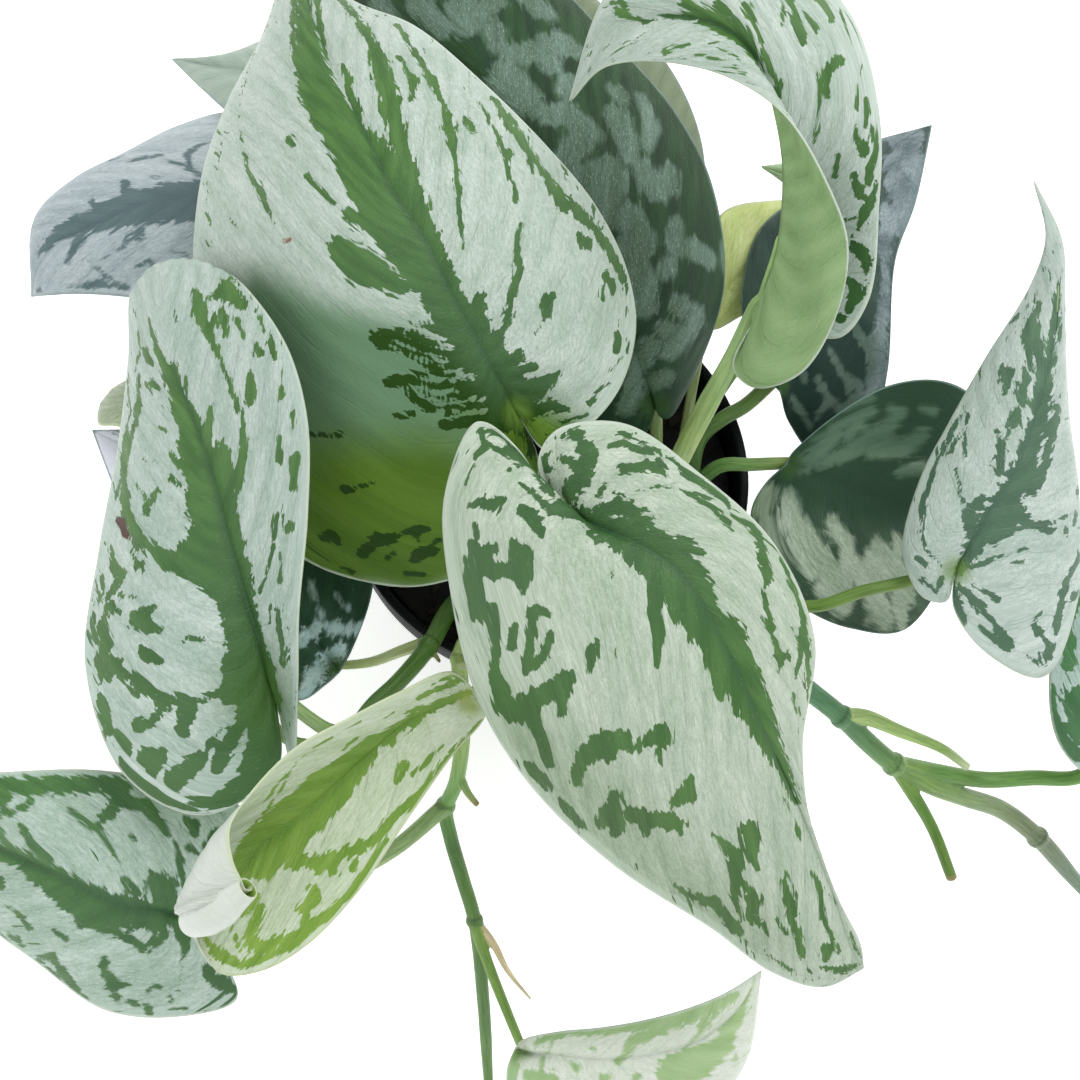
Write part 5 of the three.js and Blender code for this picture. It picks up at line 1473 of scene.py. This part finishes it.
def makePot():
    top, wall, foot, outer = pot["height"], pot["wall"], pot["footRadius"], pot["rimRadius"]
    bandFoot, inner = top - pot["bandHeight"], outer - pot["lip"]
    corners = [
        (0, 0), (foot - 3, 0), (foot, 1), (outer - pot["bandStep"] - 1, bandFoot - 1.5), (outer, bandFoot),
        (outer, top - 0.4), (outer - 1.1, top), (inner + 0.6, top), (inner, top - 0.8),
        (inner - 0.6, bandFoot - 2), (foot - wall, wall + 1), (foot - 3, wall), (0, wall),
    ]
    piece = lathe("pot_body", rounded(corners, pot["corner"]), pot["sides"])
    turns = [(hole + 0.5) / pot["drains"] * 2 * math.pi for hole in range(pot["drains"])]
    circle = pot["drainCircle"]
    places = [(circle * math.cos(turn), circle * math.sin(turn), wall / 2) for turn in turns]
    cutPegs(piece, places, pot["drainRadius"], 4 * wall, pot["drainSides"])
    pickOnly(piece)
    bpy.ops.object.shade_smooth_by_angle(angle=math.radians(pot["crease"]))
    settle(piece, potMaterial(), ["pot"])


makePot()

soil = {    # mm
    "top": 78,
    "hollow": 2.5,
    "lump": 1.1,
    "rings": 44,
    "sides": 120,
    "sideGap": 1.2,               # to the pot's rim
    "footGap": 0.6,
    "edge": 0.4,
    "slack": 0.45,                # round each stem
    "holeDepth": 24,
    "holeSides": 24,
    "rough": 0.55,
    "crumbs": 480,
    "crumbSize": (0.45, 1.3),
    "perliteShare": 0.07,
    "seed": 41,
    # near black: the dark mix and its bark, darkened further as painted shade inside the pot
    "colors": ("#090a0c", "#16151a"),
    "bark": ("#1c1511", "#3f2d20"),
    "perlite": "#d8d3c8",
    "fibre": (400, 1500, 900),    # in each metre
    "relief": (0.0006, 0.9),      # m, and strength
    "dryness": 0.95,
    "trunks": [(-8, 10, 2.6), (10, -14, 2.8), (27, -13, 2.6), (36, -6, 2.5), (-22, -31, 2.4), (-15, -34, 2.2),
               (26, -27, 2.7)],   # place and radius of each stem
}
soil["radius"] = pot["rimRadius"] - pot["lip"] - soil["sideGap"]


# Height of the soil's top at places x and y
def soilHeight(x, y):
    radius = soil["radius"] - soil["edge"]
    share = np.hypot(x, y) / radius
    lump = np.sin(x * 0.31 + 1) * np.cos(y * 0.37) + 0.6 * np.sin(x * 0.83 - y * 0.71)
    grain = [noiseField.fractal((px * 0.35, py * 0.35, 3.1), 0.8, 2.1, 4) for px, py in zip(x, y)]
    calm = ramp(radius, radius - 2, np.hypot(x, y))
    height = soil["top"] - soil["hollow"] + soil["hollow"] * share ** 2 + soil["lump"] * lump * calm
    return height + soil["rough"] * np.array(grain) * calm


# A crumb of bark or perlite, half sunk in the top, or none where a stem stands
def addCrumb(chance, index):
    reach, turn = (soil["radius"] - 3) * math.sqrt(chance.random()), chance.uniform(0, 2 * math.pi)
    x, y = reach * math.cos(turn), reach * math.sin(turn)
    size = soil["crumbSize"][0] + soil["crumbSize"][1] * chance.random() ** 2.5
    if any(math.hypot(x - spot[0], y - spot[1]) < spot[2] + 1 + size for spot in soil["trunks"]):
        return []
    white = chance.random() < soil["perliteShare"]
    z = float(soilHeight(np.array([x]), np.array([y]))[0])
    dropSelection()
    bpy.ops.mesh.primitive_ico_sphere_add(subdivisions=2, radius=size * mm)
    crumb = bpy.context.object
    long = 1.0 if white else chance.uniform(1.0, 2.2)
    shape = meshPoints(crumb)
    wobble = [1 + 0.5 * noiseField.noise((px * 900 + index, py * 900, pz * 900)) for px, py, pz in shape]
    shape = shape * np.array(wobble)[:, None] * (long, 1.0, chance.uniform(0.5, 0.9))
    turn = chance.uniform(0, math.pi)
    turned = np.array([[math.cos(turn), math.sin(turn), 0], [-math.sin(turn), math.cos(turn), 0], [0, 0, 1]])
    movePoints(crumb, shape @ turned + np.array([x, y, z + 0.15 * size]) * mm)
    paintPoints(crumb, "kind", np.full(len(shape), 1.0 if white else chance.uniform(0.25, 0.7)))
    return [crumb]


def soilMaterial():
    material, tree, surface = newMaterial("pottingMix")
    space = objectSpace(tree)
    kind = readPoints(tree, "kind")    # 0 fine mix, up to 0.7 bark, 1 perlite
    grain = noise(tree, space, 900.0, 5.0, 0.7)
    fibre = noise(tree, stretched(tree, space, soil["fibre"]), 1.0, 4.0, 0.7)
    color = mixColor(tree, window(tree, grain, 0.35, 0.65), *hues(soil["colors"]))
    color = fade(tree, color, kind, (0.15, 0.75, 1), mixColor(tree, fibre, *hues(soil["bark"])))
    color = fade(tree, color, kind, (0.8, 0.95, 1), hue(soil["perlite"]))
    tree.links.new(color, surface.inputs["Base Color"])
    tree.links.new(bumped(tree, grain, *soil["relief"]), surface.inputs["Normal"])
    surface.inputs["Roughness"].default_value = soil["dryness"]
    return material


def makeSoil():
    floor, wall = pot["wall"] + 0.3, pot["footRadius"] - pot["wall"] - soil["footGap"]
    radius = soil["radius"] - soil["edge"]
    profile = [(0, floor), (wall - 2, floor), (wall, pot["wall"] + 1.5)]
    profile += [(radius * ring / soil["rings"], soil["top"]) for ring in range(soil["rings"], -1, -1)]
    piece = lathe("soil_body", profile, soil["sides"])
    places = meshPoints(piece) / mm
    above = places[:, 2] > soil["top"] / 2
    places[above, 2] = soilHeight(places[above, 0], places[above, 1])
    movePoints(piece, places * mm)
    for x, y, trunk in soil["trunks"]:
        hole = (x, y, soil["top"] - 4)
        cutPegs(piece, [hole], trunk + soil["slack"], soil["holeDepth"], soil["holeSides"])
    paintPoints(piece, "kind", np.zeros(len(piece.data.vertices)))
    chance = random.Random(soil["seed"])
    pieces = [piece]
    for index in range(soil["crumbs"]):
        pieces += addCrumb(chance, index)
    piece = joinPieces(pieces, "soil_body")
    smoothShade(piece)
    settle(piece, soilMaterial(), ["soil"])


makeSoil()


stemShape = {
    "sides": 20,
    "spacing": 1.0,                                 # mm between the rings of a limb
    "voxel": 0.38,
    "faceShare": 0.42,                              # of the remeshed faces that are kept
    "halfBlade": 0.75,                              # mm
    "seatGap": 1.05,                                # of the radius, from a petiole's end to mid blade
    "touch": 0.35,                                  # mm that the petiole runs on to meet the blade
    "groove": 0.12,                                 # of the radius, along the upper side
    "nodeBand": 0.55,                               # mm
    "nodeDark": 0.4,
    "cutReach": (1.6, 0.3),                         # mm of a cut end that is dry
    "cap": [(1, 0.0), (0.85, 0.5), (0.5, 0.87)],    # reach and radius of the rings of a rounded end
    "ridges": (1.6, 1.6, 0.12),                     # in each mm, across, across and along
    "blotch": (0.5, 0.5, 0.16),
    "dark": (0.72, 0.76, 0.7, 1),
    "light": (1.18, 1.14, 1.12, 1),
    "specks": (0.14, 0.05, 0.35),
    "speckColor": "#cfdcb0",
    "relief": (0.00025, 0.7),                       # m, and strength
    "rough": (0.36, 0.5),
    "gloss": 0.4,
    "glow": (0.002, 0.003, 0.001),
    "glowShare": 0.05,
}


def stemMaterial():
    material, tree, surface = newMaterial("stemSkin")
    straight = readPoints(tree, "straight", "Vector")
    base = readPoints(tree, "tone", "Color")
    ridges = noise(tree, stretched(tree, straight, stemShape["ridges"]), 1.0, 4.0, 0.6)
    blotch = noise(tree, stretched(tree, straight, stemShape["blotch"]), 1.0, 3.0)
    specks = cellsOf(tree, straight, 1.5)
    dark, light = (mixColor(tree, 1.0, base, stemShape[key], "MULTIPLY") for key in ("dark", "light"))
    color = mixColor(tree, window(tree, ridges, 0.32, 0.68), dark, light)
    color = fade(tree, color, blotch, (0.45, 0.75, 0.5), base)
    color = fade(tree, color, specks, stemShape["specks"], hue(stemShape["speckColor"]))
    tree.links.new(color, surface.inputs["Base Color"])
    tree.links.new(bumped(tree, ridges, *stemShape["relief"]), surface.inputs["Normal"])
    tree.links.new(window(tree, blotch, 0.2, 0.8, *stemShape["rough"]), surface.inputs["Roughness"])
    surface.inputs["Specular IOR Level"].default_value = stemShape["gloss"]
    surface.inputs["Subsurface Weight"].default_value = stemShape["glowShare"]
    surface.inputs["Subsurface Radius"].default_value = stemShape["glow"]
    return material


stemSkin = stemMaterial()


# A place on the midrib and the way that the blade faces there
def bladeSpot(leaf, along, ahead, aside):
    spots = bladePoints(leaf, np.array([along, ahead, along, along]), np.array([0, 0, aside, -aside]))
    up = np.cross(spots[2] - spots[3], spots[1] - spots[0])
    return spots[0], up / np.linalg.norm(up)


# A petiole ends just under its blade, a little in from the sinus
def petioleSeat(leaf, radius):
    along = 0.5 / (len(leaf["ribs"]) - 1)
    spot, up = bladeSpot(leaf, along, along * 1.2, 0.2)
    return spot - up * (stemShape["halfBlade"] + stemShape["seatGap"] * radius - stemShape["touch"])


# Centres along a limb, a given step apart, with the directions forward, aside and up at each
def limbCourse(limb):
    route = [np.array(spot, dtype=float) for spot in limb["route"]]
    if "leaf" in limb:
        route.append(petioleSeat(limb["leaf"], limb.get("seat", limb["radii"][-1])))
    # a petiole may run on as a ridge under the midrib: percent along the blade and mm below its middle
    for percent, below in limb.get("ridge", []):
        spot, up = bladeSpot(limb["leaf"], percent / 100, percent / 100 + 0.02, 0.1)
        route.append(spot - up * below)
    fine = smoothRail(route, np.linspace(0, 1, 60 * len(route)))
    runs = np.concatenate([[0], np.cumsum(np.linalg.norm(np.diff(fine, axis=0), axis=1))])
    count = max(int(runs[-1] / stemShape["spacing"]), 6) + 1
    at = np.linspace(0, runs[-1], count)
    centres = np.stack([np.interp(at, runs, fine[:, axis]) for axis in range(3)], axis=1)
    forward = unit(np.gradient(centres, axis=0))
    asides = []
    aside = np.cross(forward[0], (0.3, 0.9, 0.2))
    for step in range(count):
        aside = aside - forward[step] * (aside @ forward[step])
        aside = aside / np.linalg.norm(aside)
        asides.append(aside)
    asides = np.array(asides)
    radii = np.interp(np.linspace(0, 1, count), np.linspace(0, 1, len(limb["radii"])), limb["radii"])
    return {"centres": centres, "forward": forward, "aside": asides, "up": np.cross(asides, forward),
            "radii": radii, "runs": at}


def limbTube(limb, course):
    last = len(course["centres"]) - 1
    petiole = 1.0 if "leaf" in limb else 0.0
    start, end = course["radii"][0] * 0.5, course["radii"][-1] * (1.0 if petiole else 0.33)
    # each ring: its place on the course, its reach past it, and its share of the radius
    rings = [(0, -start * reach, share) for reach, share in stemShape["cap"]]
    rings += [(step, 0, 1.0) for step in range(last + 1)]
    rings += [(last, end * reach, share) for reach, share in reversed(stemShape["cap"])]
    tube, ring, turn = addSleeve(stemShape["sides"], rings)
    step = ring[:, 0].astype(int)
    upward = np.cos(turn)[:, None] * course["aside"][step] + np.sin(turn)[:, None] * course["up"][step]
    dent = stemShape["groove"] * ramp(0.86, 1.0, upward[:, 2]) * petiole
    radius = course["radii"][step] * ring[:, 2] * (1 - dent)
    places = course["centres"][step] + course["forward"][step] * ring[:, 1:2] + upward * radius[:, None]
    movePoints(tube, places * mm)
    weldMesh(tube)
    return tube


# Paints each point from the limb it lies on: its colour and its place in the straightened limb
def paintStem(piece, stem, courses):
    points = meshPoints(piece) / mm
    best = np.full(len(points), 1e9)
    tone = np.zeros((len(points), 4))
    straight = np.zeros((len(points), 3))
    for index, (limb, course) in enumerate(zip(stem["limbs"], courses)):
        colors = np.array(hues(limb["colors"]))
        for first in range(0, len(points), 4000):    # so many points at once, to save memory
            some = slice(first, first + 4000)
            away = np.linalg.norm(points[some, None, :] - course["centres"][None], axis=2)
            step = away.argmin(axis=1)
            over = away[np.arange(len(step)), step] - course["radii"][step] + 0.12 * index
            nearer = over < best[some]
            where = np.arange(first, first + len(step))[nearer]
            step = step[nearer]
            best[where] = over[nearer]
            spoke = points[where] - course["centres"][step]
            share = step / (len(course["centres"]) - 1)
            for channel in range(4):
                shades = np.interp(share, np.linspace(0, 1, len(colors)), colors[:, channel])
                tone[where, channel] = shades
            for axis, way in enumerate(("aside", "up", "forward")):
                straight[where, axis] = (spoke * course[way][step]).sum(1)
            straight[where, 2] = course["runs"][step] + straight[where, 2] + 40 * index
            if limb.get("cut"):
                left = course["runs"][-1] - course["runs"][step]
                dry = np.array(hue(limb["cut"]))[:3] - tone[where, :3]
                tone[where, :3] += dry * ramp(*stemShape["cutReach"], left)[:, None]
    # a thin dark scar round each node
    main = courses[0]
    for knot in stem["knots"]:
        step = np.linalg.norm(main["centres"] - knot[:3], axis=1).argmin()
        height = (points - main["centres"][step]) @ main["forward"][step]
        near = np.linalg.norm(points - main["centres"][step], axis=1) < main["radii"][step] * 1.9
        scar = near * ramp(stemShape["nodeBand"], 0.15, np.abs(height + 0.8))
        tone[:, :3] *= (1 - stemShape["nodeDark"] * scar)[:, None]
    layer = piece.data.attributes.new("tone", "FLOAT_COLOR", "POINT")
    layer.data.foreach_set("color", tone.astype(np.float32).ravel())
    layer = piece.data.attributes.new("straight", "FLOAT_VECTOR", "POINT")
    layer.data.foreach_set("vector", straight.astype(np.float32).ravel())


def makeStem(name, stem):
    courses = [limbCourse(limb) for limb in stem["limbs"]]
    pieces = [limbTube(limb, course) for limb, course in zip(stem["limbs"], courses)]
    for x, y, z, radius in stem["knots"]:
        dropSelection()
        place = (x * mm, y * mm, z * mm)
        bpy.ops.mesh.primitive_uv_sphere_add(segments=24, ring_count=14, radius=radius * mm, location=place)
        pieces.append(bpy.context.object)
        applyPlace(pieces[-1])
    piece = joinPieces(pieces, name + "_skin")
    applyModifier(piece, "REMESH", mode="VOXEL", voxel_size=stemShape["voxel"] * mm, use_smooth_shade=True)
    applyModifier(piece, "SMOOTH", factor=0.5, iterations=5)
    applyModifier(piece, "DECIMATE", ratio=stemShape["faceShare"])
    while piece.data.attributes.get("UVMap"):
        piece.data.attributes.remove(piece.data.attributes["UVMap"])
    paintStem(piece, stem, courses)
    smoothShade(piece)
    settle(piece, stemSkin, [name])


crownStemBack = {
    "limbs": [
        {"route": [(-8,10,64), (-8,10,80), (-9,9,98), (-8,8,108)], "radii": [2.6, 2.6, 2.3],
         "colors": ["#57703a", "#6a8440"]},
        {"route": [(-8,8,100), (-8,5,118), (-9,-2,137)], "radii": [2.5, 2.5, 2.2], "leaf": leafCrownBack,
         "colors": ["#7f9a46", "#8fac4c", "#9db653", "#97b04c"]},
        {"route": [(-9,10,92), (-22,22,103), (-46,46,103), (-65,63,99)], "radii": [1.8, 1.3],
         "leaf": leafFarLeft, "colors": ["#5f7d45", "#6f8f60"]},
        {"route": [(-9,10,98), (-20,36,108), (-42,73,103)], "radii": [1.8, 1.3], "leaf": leafFarLeftTip,
         "colors": ["#5f7d45", "#7f9f6a"]},
        {"route": [(-8,11,88), (3,22,94), (15,33,99)], "radii": [1.8, 1.3], "leaf": leafBackPale,
         "colors": ["#5f7d45", "#7f9f6a"]},
    ],
    "knots": [(-8,9,100,3.1), (-8.5,10,90,3.1)],
}
makeStem("crown_stem_back", crownStemBack)

crownStemFront = {
    "limbs": [
        {"route": [(10,-14,64), (10,-14,80), (11,-14,96), (12,-15,106)], "radii": [2.8, 2.8, 2.4],
         "colors": ["#57703a", "#6f8a45"]},
        {"route": [(11,-14,98), (14,-19,122), (12,-29,144)], "radii": [2.5, 1.8, 1.8], "leaf": leafCrownFront,
         "colors": ["#6f8f45", "#8aa84e", "#86a552"]},
    ],
    "knots": [(11,-14,98,3.3)],
}
makeStem("crown_stem_front", crownStemFront)

crownStemUpright = {
    "limbs": [
        {"route": [(27,-13,64), (27,-13,80), (28,-11,94)], "radii": [2.6, 2.6, 2.4],
         "colors": ["#6d7f3a", "#8fa65a"]},
        {"route": [(28,-11,90), (30,-9,106), (33,-6,124), (37,-1,138), (42,7,146)],
         "radii": [2.4, 2.3, 2.4, 2.5, 2.5, 2.5, 2.0, 1.3, 0.9, 0.5], "seat": 2.3, "leaf": leafCurled,
         "ridge": [(9,2.2), (14,1.6), (20,1.2), (27,0.9)],
         "colors": ["#a9c268", "#b3cf8e", "#bcd89f", "#b5cd7e", "#a3c27e", "#a3c584", "#a0c480", "#9fc480"]},
        {"route": [(27,-13,82), (26,-5,96), (27,0,110)], "radii": [2, 1.5], "leaf": leafBackDark,
         "colors": ["#6f7a34", "#7f8f45", "#8ba76a"]},
        {"route": [(29,-10,96), (35,3,107), (45,16,112), (66,46,120)], "radii": [1.6, 0.8],
         "leaf": leafInnerTip, "colors": ["#6f8f4e", "#5d8445"]},
        {"route": [(28,-12,86), (34,2,95), (38,22,95)], "radii": [1.8, 1.1], "leaf": leafInnerYoung,
         "colors": ["#7f9552", "#93a56a"]},
    ],
    "knots": [(28,-11,91,3)],
}
makeStem("crown_stem_upright", crownStemUpright)

crownStemRight = {
    "limbs": [
        {"route": [(36,-6,64), (36,-6,80), (37,-4,93)], "radii": [2.5, 2.5, 2.2],
         "colors": ["#4a6436", "#4f6f3a"]},
        {"route": [(37,-5,88), (39.5,8,93), (45,12.5,96), (51,15.5,98)], "radii": [2.1, 2, 1.9],
         "leaf": leafRightUpper, "colors": ["#55793f", "#618748", "#6a904f", "#6f9350", "#6a8440"]},
        {"route": [(37,-5,90), (44,-1,98), (52,-1,99)], "radii": [2, 1.6], "leaf": leafRightLower,
         "colors": ["#5a8244", "#64914a", "#719a4c", "#7d9444"]},
        {"route": [(36,-6,84), (44,-24,98), (53,-37,104), (64,-41,109), (76,-38,112), (87,-36,114)],
         "radii": [2, 1.6, 1.5], "leaf": leafRightTall,
         "colors": ["#4a7036", "#5b8238", "#6b8f3c", "#6f8f3f"]},
    ],
    "knots": [(36.5,-5.5,88,3)],
}
makeStem("crown_stem_right", crownStemRight)

vineLeft = {
    "limbs": [
        {"route": [(-22,-31,64), (-22,-31,80), (-25,-38,91), (-29,-48,97), (-36,-57,98), (-42,-63,99),
                   (-47,-70,100), (-51,-75,102)], "radii": [2.5, 2.4, 2.2, 1.6],
         "colors": ["#4c7a3a", "#5f8a45", "#527a30", "#4e7828", "#5b8440", "#7fa05a"]},
        {"route": [(-47,-70,100.5), (-51.5,-70,103), (-56,-68,108)], "radii": [1.8, 1.6], "leaf": leafLeft,
         "colors": ["#7fa05a", "#9dbc7c", "#a5c285"]},
        {"route": [(-28,-46,96), (-36,-47.7,92), (-44,-49.3,87)], "radii": [1.7, 1.1], "leaf": leafUnderLeft,
         "colors": ["#a3b56c", "#c0cd98", "#bac98c", "#8fa85e"]},
        {"route": [(-50,-74,102), (-63,-71,103), (-73,-42,103), (-82,-3,97)], "radii": [1.5, 0.9],
         "leaf": leafHiddenLeft, "colors": ["#8fae6a", "#8fa565"]},
        {"route": [(-29,-47,97), (-26,-52,98)], "radii": [1, 0.5], "colors": ["#a3ad6c", "#93905c"],
         "cut": "#7f7048"},
    ],
    "knots": [(-29,-47.5,97,2.8), (-47,-70,100.5,2.4)],
}
makeStem("vine_left", vineLeft)

vineFront = {
    "limbs": [
        {"route": [(-15,-34,64), (-15,-34,80), (-18,-42,92), (-21,-50,97), (-21,-58,94), (-21,-67,81),
                   (-23,-76,68), (-26,-82,60), (-25,-88,55), (-22,-98,46), (-19,-108,38), (-17,-128,21),
                   (-16,-146,8), (-15,-160,3), (-12,-176,2.5)], "radii": [2.2, 2.1, 2, 1.9, 1.7, 0.6],
         "colors": ["#7f9f55", "#a3b56f", "#aec67e", "#aac87c", "#96b868", "#7aac60", "#4b7832", "#5c843c",
                    "#608648", "#628850", "#6c9254", "#709656", "#789c60"]},
        {"route": [(-21,-52,96), (-17,-55,106), (-14,-60,114)], "radii": [2.2, 1.6, 1.3], "leaf": leafYoung,
         "colors": ["#93ac62", "#a5bd6b", "#b0c475"]},
        {"route": [(-26,-81,61), (-40,-94,67), (-61,-106,73), (-76,-110,74)], "radii": [2.3, 1.7, 1.4],
         "leaf": leafLowLeft, "colors": ["#8fb06e", "#9dbb80", "#86a866", "#7a9f58"]},
        {"route": [(-19,-109,38), (-15,-120,34), (-10,-132,37)], "radii": [1.6, 1.2], "leaf": leafFrontLow,
         "colors": ["#7ba04a", "#7ba04a", "#7fa352"]},
        {"route": [(-19,-108,38), (-14,-114,36), (-10,-121,33), (-4,-128,31)], "radii": [1.4, 0.9, 0.4],
         "colors": ["#d0c296", "#dccba2", "#e5d6b2", "#e8dcc0"]},
        {"route": [(-22.5,-74,70), (-20,-79,69), (-17.5,-82,68)], "radii": [1.3, 0.8],
         "colors": ["#86a862", "#8fae68", "#a9a56a"], "cut": "#a08a5a"},
    ],
    "knots": [(-21,-51,97,2.7), (-26,-81,61,2.7), (-19,-108,38,2.4)],
}
makeStem("vine_front", vineFront)

vineRight = {
    "limbs": [
        {"route": [(26,-27,64), (26,-27,80), (34,-34,93), (43,-41,98), (53,-47,92), (66,-54,79), (76,-60,72),
                   (83,-65,66), (91,-70,60), (102,-74,52), (113,-76,44), (125,-78,35), (137,-84,25),
                   (151,-95,12), (163,-105,4.5), (176,-114,3)], "radii": [2.7, 2.7, 2.6, 2.6, 2.5, 0.8],
         "colors": ["#4f7f50", "#4f8050", "#528452", "#528456", "#588e64", "#6c9862", "#84aa5a", "#8aa572",
                    "#7c8c66", "#7a8f78", "#7f9484", "#82988a"]},
        {"route": [(91,-70,60), (104,-71,53), (118,-72,48), (130,-72,51), (139,-73,57)],
         "radii": [2.6, 2.2, 1.9], "leaf": leafRightEdge,
         "colors": ["#9dbd70", "#74a552", "#5e8a40", "#72a254", "#689a46", "#5f9040"]},
        {"route": [(76,-60,72), (82,-60,71.5), (91,-63,69), (103,-67,65), (110,-71,61)],
         "radii": [2.4, 1.8, 1.4, 1.1], "colors": ["#bdd690", "#b2d082", "#b0d27e", "#98ba66", "#c8d6ae"]},
        {"route": [(91,-70,60), (96,-76,55), (103,-85,47), (109,-97,39)], "radii": [2, 1.6, 1.5],
         "colors": ["#88aa58", "#5c8c2e", "#5c8628", "#5f8030"], "cut": "#a58d62"},
    ],
    "knots": [(76,-60,72,3.2), (91,-70,60,3.3), (137,-84,25,3.2)],
}
makeStem("vine_right", vineRight)
